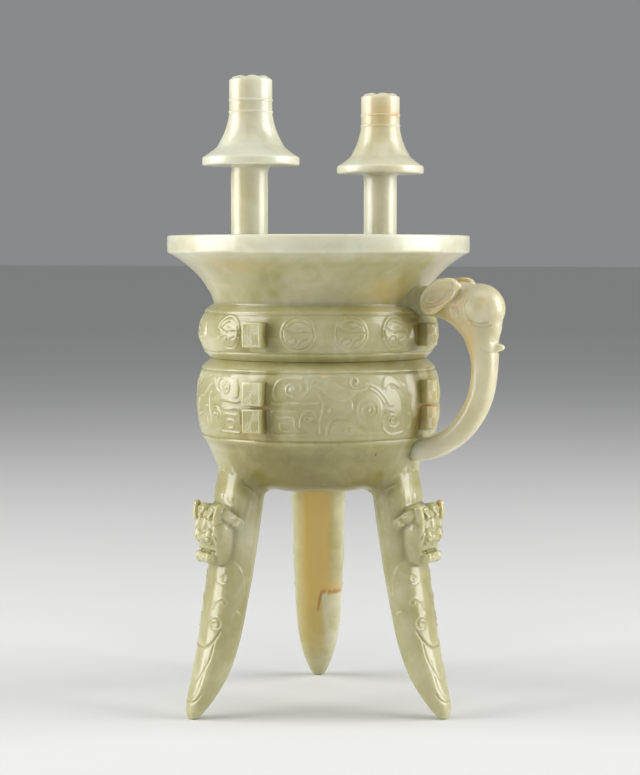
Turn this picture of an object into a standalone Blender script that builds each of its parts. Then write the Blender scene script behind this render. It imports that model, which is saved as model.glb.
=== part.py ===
"""A carved jade jia: a footed cup with a flared mouth, two capped posts, an elephant-head handle and three legs.

Metres, +Z up. The handle points to +X, the posts stand at +Y and -Y, and the feet rest on the plane z = 0.
The origin is the middle of the footprint of the whole vessel, so the cup's axis lies a little to -X of it.
The cup is one piece of stone: every carved form below is united with the turned wall.
"""

import math

import bmesh
import bpy
from mathutils import Matrix, Vector

# Mouth and neck
lip_radius = 0.0485
lip_top = 0.1518
lip_edge_height = 0.0052
lip_flat = 0.0030
neck_radius = 0.0335
neck_foot = 0.1300
flare_power = 1.75
neck_wall = 0.0040

# The two bands and the groove between them
upper_band_bottom = 0.1130
upper_band_radius = 0.0378
groove_radius = 0.0345
groove_height = 0.0010
lower_band_height = 0.0264
lower_band_radius = 0.0388
band_roundness = 2.6

# Belly and the hollow of the cup
belly_radius = 0.0356
belly_bottom = 0.0718
belly_taper = 0.14
cup_radius = 0.0300
cup_floor = 0.0050
cup_corner = 0.0090

# Squared blocks that divide the bands
block_half_angle = math.radians(5.0)
block_reach = 0.0412
upper_block_margin = 0.0042
lower_block_margin = 0.0052
block_split = 0.0005

# Roundels of the upper band
roundel_radius = 0.0054
roundel_raise = 0.0005
roundel_angles = (19.5, 45.0, 70.5)

# Posts and their caps
post_circle = 0.0418
post_radius = 0.0056
cap_bottom = 0.1730
cap_radius = 0.0148
cap_edge = 0.0026
bell_radius = 0.0094
bell_bottom = 0.1798
knob_radius = 0.0065
ring_height = 0.1892
ring_raise = 0.0004
ring_width = 0.0008
vessel_height = 0.2000
knob_round = 0.0009

# Legs. Each station is a share of the leg's height, of the belly's radius and of the leg's half depth
leg_inset = 0.0072
leg_half = 0.0070
leg_breadth = 1.26
leg_stations = (
    (1.000, 0.893, 0.34),
    (0.956, 0.860, 0.71),
    (0.901, 0.823, 0.97),
    (0.810, 0.832, 1.00),
    (0.696, 0.865, 0.99),
    (0.570, 0.905, 0.96),
    (0.443, 0.958, 0.91),
    (0.329, 1.011, 0.89),
    (0.228, 1.073, 0.83),
    (0.139, 1.140, 0.70),
    (0.070, 1.208, 0.56),
    (0.025, 1.258, 0.43),
    (-0.025, 1.315, 0.26),
)
leg_angles = (0.0, 120.0, 240.0)

# Beast heads on the legs: the forms' places and half sizes are multiples of the brow's half size
mask_size = 0.0066
mask_share = 0.76
mask_brow = ((1.08, 0.0, 0.0), (1.00, 1.00, 0.94))
mask_snout = ((1.44, 0.0, -0.61), (0.73, 0.76, 0.48))
mask_jaw = ((1.12, 0.0, -1.36), (0.70, 0.73, 0.48))
mask_ear = ((1.14, 1.29, 0.55), (0.48, 0.55, 0.55))
mask_eye = ((1.68, 0.50, 0.03), (0.39, 0.36, 0.36))

# Handle. The trunk's stations are shares of the way out from the belly to the handle's reach, of the
# way up from the root to the head, and of the trunk's half thickness
handle_reach = 0.0662
trunk_half = 0.0036
trunk_root_drop = 0.0011
trunk_stations = (
    (0.699, 0.902, 1.94),
    (0.748, 0.776, 1.39),
    (0.765, 0.651, 1.08),
    (0.765, 0.548, 1.03),
    (0.732, 0.422, 1.00),
    (0.657, 0.297, 1.00),
    (0.542, 0.183, 0.97),
    (0.392, 0.091, 0.94),
    (0.225, 0.032, 0.94),
    (0.046, 0.002, 0.94),
    (-0.069, 0.000, 0.86),
)
spur_height = 0.1170
spur_radius = 0.0017

# Elephant head: its place, and its parts as multiples of its half length
head_size = 0.0094
head_share = 0.673
head_drop = 0.0017
head_halves = (1.00, 0.70, 0.94)
head_ear = ((-1.09, 0.66, 0.52), (0.77, 0.26, 0.53))
head_eye = ((0.30, 0.45, 0.02), (0.49, 0.36, 0.49))
head_root_rise = 0.27
head_root_half = 0.60

# Roundness of the turned and the swept forms
body_steps = 40
post_steps = 16
leg_resolution = 4
trunk_resolution = 4

cut_size = 0.3000


def clear_scene():
    for item in list(bpy.data.objects):
        bpy.data.objects.remove(item, do_unlink=True)
    for group in list(bpy.data.collections):
        bpy.data.collections.remove(group)


def new_collection(name):
    group = bpy.data.collections.new(name)
    bpy.context.scene.collection.children.link(group)
    return group


def jade_material():
    material = bpy.data.materials.new("celadon jade")
    material.use_nodes = True
    shader = material.node_tree.nodes["Principled BSDF"]
    shader.inputs["Base Color"].default_value = (0.62, 0.66, 0.46, 1.0)
    shader.inputs["Roughness"].default_value = 0.28
    shader.inputs["Metallic"].default_value = 0.0
    return material


def place(item, group):
    """Puts the object in one collection only."""
    for other in list(item.users_collection):
        other.objects.unlink(item)
    group.objects.link(item)


def as_helper(item, group):
    """Marks an object as a form that is united with the body or cut from it."""
    place(item, group)
    item.hide_render = True
    item.display_type = "WIRE"
    return item


def turned(name, profile, steps):
    """A profile of (radius, height) points turned about the Z axis."""
    mesh = bpy.data.meshes.new(name)
    points = [(radius, 0.0, height) for radius, height in profile]
    edges = [(i, i + 1) for i in range(len(points) - 1)]
    mesh.from_pydata(points, edges, [])
    item = bpy.data.objects.new(name, mesh)
    bpy.context.scene.collection.objects.link(item)
    screw = item.modifiers.new("turn", "SCREW")
    screw.steps = steps
    screw.render_steps = steps
    screw.use_merge_vertices = True
    screw.merge_threshold = 0.00001
    return item


def flare_radius(height):
    """Outer radius of the neck at a height, from the neck's foot to the underside of the lip."""
    share = (height - neck_foot) / (lip_top - lip_edge_height - neck_foot)
    return neck_radius + (lip_radius - lip_flat / 10 - neck_radius) * max(share, 0.0) ** flare_power


def mouth_radius(height):
    """Inner radius of the neck at a height, from the neck's foot to the inner edge of the lip."""
    share = (height - neck_foot) / (lip_top - neck_foot)
    inner = neck_radius - neck_wall
    return inner + (lip_radius - lip_flat - inner) * max(share, 0.0) ** flare_power


def bulge(bottom, top, edge, reach, count):
    """Points of a rounded band from its top edge down to its bottom edge."""
    points = []
    for i in range(count + 1):
        side = 1.0 - 2.0 * i / count
        side = math.sin(side * math.pi / 2)
        swell = math.sqrt(max(1.0 - abs(side) ** band_roundness, 0.0))
        height = (top + bottom) / 2 + side * (top - bottom) / 2
        points.append((edge + (reach - edge) * swell, height))
    return points


def belly_profile(top, count):
    """Points of the belly from under the lower band down to the middle of its underside."""
    points = []
    for i in range(count + 1):
        share = math.sin(i / count * math.pi / 2)
        round_off = max(1.0 - share ** 6, 0.0) ** (1 / 3)
        radius = belly_radius * (1.0 - belly_taper * share) * round_off
        points.append((radius, top - share * (top - belly_bottom)))
    return points


def body_profile():
    """The cup's section: up the hollow from its floor, over the lip, and down the outside."""
    floor = belly_bottom + cup_floor
    inside = [(0.0, floor)]
    for i in range(5):
        turn = i / 4 * math.pi / 2
        inside.append(
            (cup_radius - cup_corner + cup_corner * math.sin(turn), floor + cup_corner * (1 - math.cos(turn)))
        )
    inside.append((cup_radius, (floor + neck_foot) / 2))
    for i in range(7):
        height = neck_foot + (lip_top - neck_foot) * i / 6
        inside.append((min(max(mouth_radius(height), cup_radius - neck_wall), lip_radius - lip_flat), height))
    inside = [inside[0]] + [p for p, q in zip(inside[1:], inside[:-1]) if math.dist(p, q) > 1e-5]
    lip_low = lip_top - lip_edge_height
    bow = lip_flat / 10
    outside = [
        (lip_radius - bow, lip_top),
        (lip_radius, lip_top - lip_edge_height * 0.4),
        (lip_radius - bow * 0.5, lip_low + bow),
    ]
    for i in range(8):
        height = lip_low - (lip_low - neck_foot) * i / 7
        outside.append((flare_radius(height), height))
    band_top = neck_foot - groove_height / 2
    outside += bulge(upper_band_bottom, band_top, groove_radius, upper_band_radius, 8)
    lower_top = upper_band_bottom - groove_height
    lower_bottom = lower_top - lower_band_height
    outside += bulge(lower_bottom, lower_top, groove_radius, lower_band_radius, 9)
    outside += belly_profile(lower_bottom - groove_height / 2, 7)
    return inside + outside


def swept(name, points, resolution, breadth):
    """A round bar through (x, z, half thickness) points in the XZ plane, made broader along Y."""
    curve = bpy.data.curves.new(name, "CURVE")
    curve.dimensions = "3D"
    curve.bevel_depth = 1.0
    curve.bevel_resolution = resolution
    curve.use_fill_caps = True
    spline = curve.splines.new("POLY")
    spline.points.add(len(points) - 1)
    for point, (x, z, half) in zip(spline.points, points):
        point.co = (x, 0.0, z, 1.0)
        point.radius = half
    bar = bpy.data.objects.new(name, curve)
    bpy.context.scene.collection.objects.link(bar)
    bpy.context.view_layer.update()
    graph = bpy.context.evaluated_depsgraph_get()
    mesh = bpy.data.meshes.new_from_object(bar.evaluated_get(graph))
    bpy.data.objects.remove(bar, do_unlink=True)
    shape = bmesh.new()
    shape.from_mesh(mesh)
    bmesh.ops.remove_doubles(shape, verts=shape.verts, dist=0.00001)
    bmesh.ops.scale(shape, vec=(1.0, breadth, 1.0), verts=shape.verts)
    bmesh.ops.recalc_face_normals(shape, faces=shape.faces)
    shape.to_mesh(mesh)
    shape.free()
    item = bpy.data.objects.new(name, mesh)
    bpy.context.scene.collection.objects.link(item)
    return item


def smooth_path(stations, per_span):
    """Points of a Catmull-Rom curve through the stations."""
    points = []
    last = len(stations) - 1
    for i in range(last):
        a = Vector(stations[max(i - 1, 0)])
        b = Vector(stations[i])
        c = Vector(stations[i + 1])
        d = Vector(stations[min(i + 2, last)])
        for k in range(per_span):
            t = k / per_span
            points.append(
                0.5
                * (
                    2 * b
                    + (c - a) * t
                    + (2 * a - 5 * b + 4 * c - d) * t * t
                    + (3 * b - a - 3 * c + d) * t ** 3
                )
            )
    points.append(Vector(stations[last]))
    return points


def ball(name, middle, halves, tilt=0.0, rings=8, sides=12):
    """An ellipsoid, given its middle and its three half sizes, tipped about Y."""
    mesh = bpy.data.meshes.new(name)
    shape = bmesh.new()
    bmesh.ops.create_uvsphere(shape, u_segments=sides, v_segments=rings, radius=1.0)
    bmesh.ops.scale(shape, vec=halves, verts=shape.verts)
    bmesh.ops.rotate(shape, cent=(0, 0, 0), matrix=Matrix.Rotation(tilt, 3, "Y"), verts=shape.verts)
    bmesh.ops.translate(shape, vec=middle, verts=shape.verts)
    shape.to_mesh(mesh)
    shape.free()
    item = bpy.data.objects.new(name, mesh)
    bpy.context.scene.collection.objects.link(item)
    return item


def block(name, angle, bottom, top, inner):
    """A squared block on a band, standing out from the wall at an angle about the axis."""
    half = block_reach * math.sin(block_half_angle)
    mesh = bpy.data.meshes.new(name)
    shape = bmesh.new()
    bmesh.ops.create_cube(shape, size=1.0)
    bmesh.ops.scale(shape, vec=(block_reach - inner, 2 * half, top - bottom), verts=shape.verts)
    bmesh.ops.translate(shape, vec=((block_reach + inner) / 2, 0.0, (top + bottom) / 2), verts=shape.verts)
    bmesh.ops.rotate(shape, cent=(0, 0, 0), matrix=Matrix.Rotation(angle, 3, "Z"), verts=shape.verts)
    shape.to_mesh(mesh)
    shape.free()
    item = bpy.data.objects.new(name, mesh)
    bpy.context.scene.collection.objects.link(item)
    return item


def roundel(name, angle, height, inner):
    """A low round boss on the upper band, its axis pointing out from the vessel's axis."""
    mesh = bpy.data.meshes.new(name)
    shape = bmesh.new()
    reach = upper_band_radius + roundel_raise
    bmesh.ops.create_cone(
        shape,
        cap_ends=True,
        segments=12,
        radius1=roundel_radius,
        radius2=roundel_radius * 0.93,
        depth=reach - inner,
    )
    bmesh.ops.rotate(shape, cent=(0, 0, 0), matrix=Matrix.Rotation(math.pi / 2, 3, "Y"), verts=shape.verts)
    bmesh.ops.translate(shape, vec=((reach + inner) / 2, 0.0, height), verts=shape.verts)
    bmesh.ops.rotate(shape, cent=(0, 0, 0), matrix=Matrix.Rotation(angle, 3, "Z"), verts=shape.verts)
    shape.to_mesh(mesh)
    shape.free()
    item = bpy.data.objects.new(name, mesh)
    bpy.context.scene.collection.objects.link(item)
    return item


def turned_about_axis(item, angle):
    """Turns an object's mesh about the vessel's axis."""
    item.data.transform(Matrix.Rotation(angle, 4, "Z"))
    return item


def unite(body, item, group):
    as_helper(item, group)
    join = body.modifiers.new("with " + item.name, "BOOLEAN")
    join.operation = "UNION"
    join.object = item


def cut(body, item, group):
    as_helper(item, group)
    remove = body.modifiers.new("less " + item.name, "BOOLEAN")
    remove.operation = "DIFFERENCE"
    remove.object = item


def cap_profile():
    """A post with its cap, from the middle of the cap's top down to the foot of the post."""
    points = [(0.0, vessel_height), (knob_radius - knob_round, vessel_height), (knob_radius, vessel_height - knob_round)]
    for height in (ring_height + 0.0035, ring_height):
        points += [
            (knob_radius, height + ring_width / 2),
            (knob_radius + ring_raise, height),
            (knob_radius, height - ring_width / 2),
        ]
    low = ring_height - ring_width
    for i in range(1, 6):
        share = i / 5
        height = low + (bell_bottom - low) * share
        points.append((knob_radius + (bell_radius - knob_radius) * share ** 2, height))
    points += [
        (cap_radius, cap_bottom + cap_edge),
        (cap_radius, cap_bottom),
        (post_radius, cap_bottom),
        (post_radius, neck_foot),
        (0.0, neck_foot),
    ]
    return points


def below_mouth_profile():
    """The room under the middle of the flared wall, which trims a post's foot inside the stone."""
    points = [(0.0, lip_top - lip_edge_height / 2 - (lip_top - neck_foot))]
    for i in range(9):
        height = neck_foot + (lip_top - lip_edge_height - neck_foot) * i / 8
        points.append((flare_radius(height), height + lip_edge_height * 0.5))
    points[0] = (0.0, points[1][1])
    rim = points[-1]
    points.append((lip_radius * 2, rim[1]))
    points.append((lip_radius * 2, belly_bottom))
    points.append((0.0, belly_bottom))
    return points


def add_posts(body, tools):
    for side in (1, -1):
        post = turned("post", cap_profile(), post_steps)
        post.location = (0.0, side * post_circle, 0.0)
        trim = turned("post foot trim", below_mouth_profile(), body_steps)
        cut(post, trim, tools)
        unite(body, post, tools)


def leg_path():
    """The leg's centre line and half depth, as (reach, height, half) points from shoulder to tip."""
    top = belly_bottom + leg_inset
    return [(reach * belly_radius, height * top, half * leg_half) for height, reach, half in leg_stations]


def reach_at(path, height):
    """The reach of a path of (reach, height, half) points at a height."""
    for a, b in zip(path[:-1], path[1:]):
        if b[1] <= height <= a[1]:
            share = (a[1] - height) / (a[1] - b[1])
            return a[0] + (b[0] - a[0]) * share
    return path[0][0]


def form(name, middle, size, place_and_halves, side=1, rings=6, sides=10, tilt=0.0):
    """An ellipsoid whose place from a middle, and half sizes, are multiples of one size."""
    offset, halves = place_and_halves
    spot = (middle[0] + offset[0] * size, side * offset[1] * size, middle[1] + offset[2] * size)
    return ball(name, spot, [half * size for half in halves], tilt=tilt, rings=rings, sides=sides)


def add_legs(body, tools):
    path = leg_path()
    for angle in leg_angles:
        leg = swept("leg", path, leg_resolution, leg_breadth)
        unite(body, turned_about_axis(leg, math.radians(angle)), tools)
        add_beast_head(body, tools, path, math.radians(angle))


def add_beast_head(body, tools, path, angle):
    """The animal mask on the outer side of a leg's shoulder: brow, snout, jaw, ears and eyes."""
    height = mask_share * (belly_bottom + leg_inset)
    middle = (reach_at(path, height), height)
    forms = [
        form("mask brow", middle, mask_size, mask_brow),
        form("mask snout", middle, mask_size, mask_snout),
        form("mask jaw", middle, mask_size, mask_jaw),
    ]
    for side in (1, -1):
        forms.append(form("mask ear", middle, mask_size, mask_ear, side, rings=4, sides=8))
        forms.append(form("mask eye", middle, mask_size, mask_eye, side, rings=4, sides=6))
    for item in forms:
        unite(body, turned_about_axis(item, angle), tools)


def trunk_path():
    """The trunk's centre line and half thickness, as (reach, height, half) points from the head down."""
    foot = upper_band_bottom - groove_height - lower_band_height - trunk_root_drop
    rise = neck_foot - head_drop - foot
    out = handle_reach - belly_radius
    return [(belly_radius + out * a, foot + rise * b, trunk_half * c) for a, b, c in trunk_stations]


def add_handle(body, tools):
    """The elephant head and its trunk, which comes back to the belly."""
    path = trunk_path()
    unite(body, swept("trunk", smooth_path(path, 2), trunk_resolution, 1.0), tools)
    middle = (belly_radius + head_share * (handle_reach - belly_radius), neck_foot - head_drop)
    unite(body, form("head", middle, head_size, ((0, 0, 0), head_halves), rings=8, sides=12), tools)
    inner = neck_radius - neck_wall * 0.75
    root_middle = ((inner + middle[0]) / 2, 0.0, middle[1] + head_root_rise * head_size)
    thick = head_root_half * head_size
    unite(body, ball("head root", root_middle, ((middle[0] - inner) / 2, thick, thick), tilt=-0.16), tools)
    for side in (1, -1):
        unite(body, form("ear", middle, head_size, head_ear, side, rings=8, sides=12, tilt=-0.35), tools)
        unite(body, form("eye", middle, head_size, head_eye, side), tools)
    start = reach_at(path, spur_height)
    spur_middle = ((start + handle_reach) / 2, 0.0, spur_height)
    unite(body, ball("spur", spur_middle, ((handle_reach - start) / 2, spur_radius, spur_radius)), tools)


def add_band_carving(body, tools):
    lower_top = upper_band_bottom - groove_height
    lower_bottom = lower_top - lower_band_height
    lower_middle = (lower_top + lower_bottom) / 2
    upper_top = neck_foot - groove_height / 2
    inner = (cup_radius + groove_radius) / 2
    for quarter in range(4):
        angle = quarter * math.pi / 2
        for name, bottom, top in (
            ("upper block", upper_band_bottom + upper_block_margin, upper_top - upper_block_margin),
            ("middle block", lower_middle + block_split, lower_top - lower_block_margin),
            ("lower block", lower_bottom + lower_block_margin, lower_middle - block_split),
        ):
            unite(body, block(name, angle, bottom, top, inner), tools)
        for step in roundel_angles:
            boss = roundel("roundel", angle + math.radians(step), (upper_top + upper_band_bottom) / 2, inner)
            unite(body, boss, tools)


def add_ground_cut(body, tools):
    """Cuts the three tips level, so that each foot is a real flat."""
    mesh = bpy.data.meshes.new("ground cut")
    shape = bmesh.new()
    bmesh.ops.create_cube(shape, size=cut_size)
    bmesh.ops.translate(shape, vec=(0.0, 0.0, -cut_size / 2), verts=shape.verts)
    shape.to_mesh(mesh)
    shape.free()
    ground = bpy.data.objects.new("ground cut", mesh)
    bpy.context.scene.collection.objects.link(ground)
    cut(body, ground, tools)


def main():
    clear_scene()
    vessel = new_collection("jade jia vessel")
    tools = new_collection("forms and cutters")
    body = turned("jia_vessel", body_profile(), body_steps)
    place(body, vessel)
    body.data.materials.append(jade_material())
    add_band_carving(body, tools)
    add_posts(body, tools)
    add_legs(body, tools)
    add_handle(body, tools)
    add_ground_cut(body, tools)
    body.data.shade_smooth()
    centre = bpy.data.objects.new("footprint centre", None)
    vessel.objects.link(centre)
    body.parent = centre
    for helper in tools.objects:
        helper.parent = centre
    centre.location = ((lip_radius - handle_reach) / 2, 0.0, 0.0)


main()
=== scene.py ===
# %% [markdown]
# # A carved jade jia
# The real object is one piece of pale green jade: a footed cup with a flared lip, two mushroom-capped
# posts, an elephant head whose trunk is the handle, and three legs that each grow a beast's head.
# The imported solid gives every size. Here the same forms are modelled finely enough to carry the
# carving, as five closed pieces that meet in natural grooves or sink into the stone.

# %% The frame
import math

import bpy
import numpy as np
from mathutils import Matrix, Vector


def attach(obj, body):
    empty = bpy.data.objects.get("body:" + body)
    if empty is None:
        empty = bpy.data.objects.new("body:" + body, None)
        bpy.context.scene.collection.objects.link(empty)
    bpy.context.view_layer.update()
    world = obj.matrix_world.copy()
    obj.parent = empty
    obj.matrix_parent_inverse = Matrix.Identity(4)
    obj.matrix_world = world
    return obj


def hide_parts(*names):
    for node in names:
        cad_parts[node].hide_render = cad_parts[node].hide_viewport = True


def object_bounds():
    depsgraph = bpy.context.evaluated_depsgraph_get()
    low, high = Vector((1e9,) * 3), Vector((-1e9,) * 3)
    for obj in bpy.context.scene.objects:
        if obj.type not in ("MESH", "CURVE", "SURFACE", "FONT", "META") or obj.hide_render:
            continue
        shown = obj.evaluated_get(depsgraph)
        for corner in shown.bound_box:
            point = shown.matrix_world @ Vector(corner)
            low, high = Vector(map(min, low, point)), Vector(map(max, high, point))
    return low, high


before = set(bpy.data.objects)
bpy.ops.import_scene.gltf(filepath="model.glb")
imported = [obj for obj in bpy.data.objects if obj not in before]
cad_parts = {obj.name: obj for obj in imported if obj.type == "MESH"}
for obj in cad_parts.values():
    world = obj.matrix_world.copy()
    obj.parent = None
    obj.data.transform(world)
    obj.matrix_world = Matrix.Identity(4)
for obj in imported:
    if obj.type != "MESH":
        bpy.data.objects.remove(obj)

MM = 0.001
cad_low, cad_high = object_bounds()
lip_reach = 48.5 * MM
axis_x = cad_low.x + lip_reach
print("solid's box in mm:", [round(v / MM, 1) for v in (*cad_low, *cad_high)])
print("the cup's axis stands at x =", round(axis_x / MM, 2), "mm")

# %% [markdown]
# ## Hand tools
# Everything is drawn around the cup's own axis first, and is moved to its place in the frame at the
# end. A turned form starts as a line drawn point by point, which is then spun. The helpers below
# only wrap operators that would be used by hand, and read or write a mesh's points as an array.

# %% Selecting and reading
def let_go():
    """Leaves edit mode and selects nothing, so that the next operator acts on its own piece only."""
    if bpy.context.object and bpy.context.object.mode != "OBJECT":
        bpy.ops.object.mode_set(mode="OBJECT")
    bpy.ops.object.select_all(action="DESELECT")


def pick(*items):
    """Selects these pieces, the last one active."""
    let_go()
    for item in items:
        item.select_set(True)
    bpy.context.view_layer.objects.active = items[-1]
    return items[-1]


def points_of(item, what="co"):
    """A mesh's points, or their normals, as one array."""
    values = np.empty(len(item.data.vertices) * 3)
    item.data.vertices.foreach_get(what, values)
    return values.reshape(-1, 3)


def from_axis(points):
    """How far points lie from the upright axis that a piece is made around."""
    return np.hypot(points[:, 0], points[:, 1])


def move_points(item, points):
    item.data.vertices.foreach_set("co", points.ravel())
    item.data.update()


def tell_relief(what, relief):
    print(what, "carved, deepest and highest in mm:", round(relief.min(), 2), round(relief.max(), 2))


def count_faces(item):
    return sum(len(face.vertices) - 2 for face in item.data.polygons)


def finish_edit(threshold=0.001 * MM):
    """Welds what coincides, turns the faces outwards and leaves edit mode."""
    bpy.ops.mesh.select_all(action="SELECT")
    bpy.ops.mesh.remove_doubles(threshold=threshold)
    bpy.ops.mesh.normals_make_consistent(inside=False)
    bpy.ops.object.mode_set(mode="OBJECT")


def apply_all(item):
    """Applies a piece's modifiers from the first to the last."""
    pick(item)
    for modifier in list(item.modifiers):
        bpy.ops.object.modifier_apply(modifier=modifier.name)
    return item


# %% Lines and turned forms
def smooth_line(points, per_span=6):
    """A flowing line through the given points (a Catmull-Rom curve)."""
    points = np.array(points, float)
    ends = np.vstack([points[:1], points, points[-1:]])
    out = []
    for a, b, c, d in zip(ends[:-3], ends[1:-2], ends[2:-1], ends[3:]):
        for t in np.arange(per_span) / per_span:
            bend = (2 * a - 5 * b + 4 * c - d) * t ** 2 + (3 * b - a - 3 * c + d) * t ** 3
            out.append(0.5 * (2 * b + (c - a) * t + bend))
    return np.array(out + [points[-1]])


def evenly(points, step):
    """The same line with its points an even step apart."""
    points = np.array(points, float)
    run = np.concatenate([[0], np.cumsum(np.linalg.norm(np.diff(points, axis=0), axis=1))])
    marks = np.linspace(0, run[-1], max(int(round(run[-1] / step)), 1) + 1)
    return np.stack([np.interp(marks, run, column) for column in points.T], axis=1)


def drawn_line(name, points):
    """A line in the XZ plane: a small plane is merged to one corner, which is extruded point by point."""
    let_go()
    start = Vector((points[0][0] * MM, 0, points[0][1] * MM))
    bpy.ops.mesh.primitive_plane_add(size=MM, location=start)
    line = bpy.context.object
    line.name = name
    bpy.ops.object.transform_apply(location=True)
    bpy.ops.object.mode_set(mode="EDIT")
    bpy.ops.mesh.merge(type="CENTER")
    for (r0, z0), (r1, z1) in zip(points[:-1], points[1:]):
        step = ((r1 - r0) * MM, 0, (z1 - z0) * MM)
        bpy.ops.mesh.extrude_vertices_move(TRANSFORM_OT_translate={"value": step})
    return line


def turned(name, points, columns):
    """Spins a drawn line all the way round the Z axis and closes it."""
    line = drawn_line(name, points)
    bpy.ops.mesh.select_all(action="SELECT")
    bpy.ops.mesh.spin(steps=columns, angle=math.tau, center=(0, 0, 0), axis=(0, 0, 1))
    finish_edit()
    return line


# %% [markdown]
# ## Carving
# Low relief is a drawing that has been given depth. Each carved line below is a short list of points
# in the wall's own millimetres, and the surface is lifted or sunk by how near each of its points lies
# to the line. A ridge has a flat crown and soft shoulders, as abrasive leaves it.

# %% Soft steps and distances
def soft_step(x):
    """Rises softly from 0 to 1 while x goes from 0 to 1."""
    x = np.clip(x, 0, 1)
    return x * x * (3 - 2 * x)


def between(x, low, high, soft_low, soft_high):
    """1 between two values, 0 outside them, with a soft change at each of them."""
    return soft_step((x - low) / soft_low) * soft_step((high - x) / soft_high)


def distance_to(line, spots):
    """The distance of each spot from the nearest point of a line, all in millimetres."""
    nearest = np.full(len(spots), 1e9)
    for a, b in zip(line[:-1], line[1:]):
        along = b - a
        share = np.clip(((spots - a) @ along) / max(along @ along, 1e-9), 0, 1)
        gap = np.linalg.norm(spots - (a + share[:, None] * along), axis=1)
        nearest = np.minimum(nearest, gap)
    return nearest


def near_line(line, spots, margin):
    """Which spots lie in the line's own box and a margin round it."""
    low = line.min(axis=0) - margin
    high = line.max(axis=0) + margin
    return np.where(np.all((spots > low) & (spots < high), axis=1))[0]


# %% Carved lines and raised fields
def carve(relief, spots, line, width, height, shoulder):
    """Adds a ridge (height above 0) or a groove (below 0) that follows the line."""
    line = smooth_line(line, 5) if len(line) > 2 else np.array(line, float)
    here = near_line(line, spots, width / 2 + shoulder)
    if not len(here):
        return
    gap = distance_to(line, spots[here])
    form = height * soft_step((width / 2 + shoulder / 2 - gap) / shoulder)
    if height > 0:
        relief[here] = np.maximum(relief[here], form)
    else:
        relief[here] += form


def raise_field(relief, spots, outline, height, shoulder):
    """Lifts the area inside a closed outline, with a soft edge."""
    outline = smooth_line(list(outline) + [outline[0]], 4)
    here = near_line(outline, spots, shoulder)
    if not len(here):
        return
    spot = spots[here]
    inside = np.zeros(len(spot), bool)
    for (x0, y0), (x1, y1) in zip(outline[:-1], outline[1:]):
        crosses = (y0 > spot[:, 1]) != (y1 > spot[:, 1])
        where = x0 + (spot[:, 1] - y0) * (x1 - x0) / ((y1 - y0) if y1 != y0 else 1e-9)
        inside ^= crosses & (spot[:, 0] < where)
    gap = np.where(inside, 1, -1) * distance_to(outline, spot)
    relief[here] = np.maximum(relief[here], height * soft_step(gap / shoulder + 0.5))


def spiral(centre, inner, outer, turns, start):
    """Points of a spiral that opens from the inner to the outer radius; start is in degrees."""
    share = np.linspace(0, 1, int(turns * 12) + 2)
    angle = math.radians(start) + share * turns * math.tau
    radius = inner + (outer - inner) * share
    return np.stack([centre[0] + radius * np.cos(angle), centre[1] + radius * np.sin(angle)], axis=1)


# %% [markdown]
# ## The cup
# The cup is turned: a flared mouth with a plain band at the lip, a waisted neck, a groove, the two
# swelling bands and a belly that rounds under to a flat base. The hollow runs down to a rounded
# floor. The core is one spun line. The two carved bands are rings of their own, much finer, that lie
# in the core's groove lines, so that the carving gets its faces and the plain stone doesn't.

# %% The core's line
floor_height = 76.8
hollow = 30.0
corner = 9.0
lip_line = [
    (45.3, 150.9), (45.45, 151.5), (45.9, 151.78), (47.0, 151.8), (47.9, 151.8), (48.3, 151.66),
    (48.45, 151.3), (48.49, 150.2), (48.49, 148.6), (48.45, 147.0), (48.34, 146.5), (47.95, 146.2),
    (46.9, 145.7),
]
flare_line = [
    (46.9, 145.7), (45.35, 144.7), (42.65, 142.7), (40.4, 140.8), (38.5, 138.9), (37.0, 137.0),
    (35.7, 135.0), (34.6, 133.1), (33.9, 131.2), (33.55, 129.8), (33.5, 128.4),
]
mouth_line = [
    (hollow, 118.0), (hollow, 124.0), (30.1, 128.0), (30.7, 132.0), (32.2, 136.0), (34.6, 140.0),
    (38.2, 144.0), (42.0, 147.5), (45.0, 150.4),
]
belly_line = [
    (35.3, 84.7), (34.9, 82.7), (34.3, 80.8), (33.5, 78.8), (32.6, 76.9), (31.3, 75.0), (29.6, 73.4),
    (27.4, 72.4), (24.5, 71.95), (20.0, 71.8),
]
corner_arc = [
    (hollow - corner + corner * math.sin(t), floor_height + corner * (1 - math.cos(t)))
    for t in np.linspace(0, math.pi / 2, 9)
]
core_line = (
    [(0.0, floor_height), (7.0, floor_height), (14.0, floor_height)]
    + corner_arc
    + [(hollow, 92.0), (hollow, 100.0), (hollow, 109.0)]
    + list(evenly(smooth_line(mouth_line), 1.6))
    + list(evenly(smooth_line(lip_line), 0.3))
    + list(evenly(smooth_line(flare_line), 0.7))[1:]
    + [(33.4, 121.0), (33.4, 113.0), (33.4, 100.0), (33.4, 88.0), (33.0, 82.0), (31.8, 78.0), (29.5, 75.6)]
    + [(26.0, 74.4), (20.0, 73.9), (10.0, 73.9), (0.0, 73.9)]
)
core = turned("cup_of_jade", core_line, 240)
print("core:", len(core_line), "points in the line,", count_faces(core), "triangles")

# %% [markdown]
# ## The drawing on the lower band
# The band is divided by four squared blocks. From each post's block towards its neighbours the same
# drawing runs, mirrored: a beast's face in scrolls, with an eye, a brow ridge, squared spirals, a
# crest of sweeping lines and a leaf-shaped ear. It is drawn once, as degrees from the post's block
# and height, and folded onto all eight halves.

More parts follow.
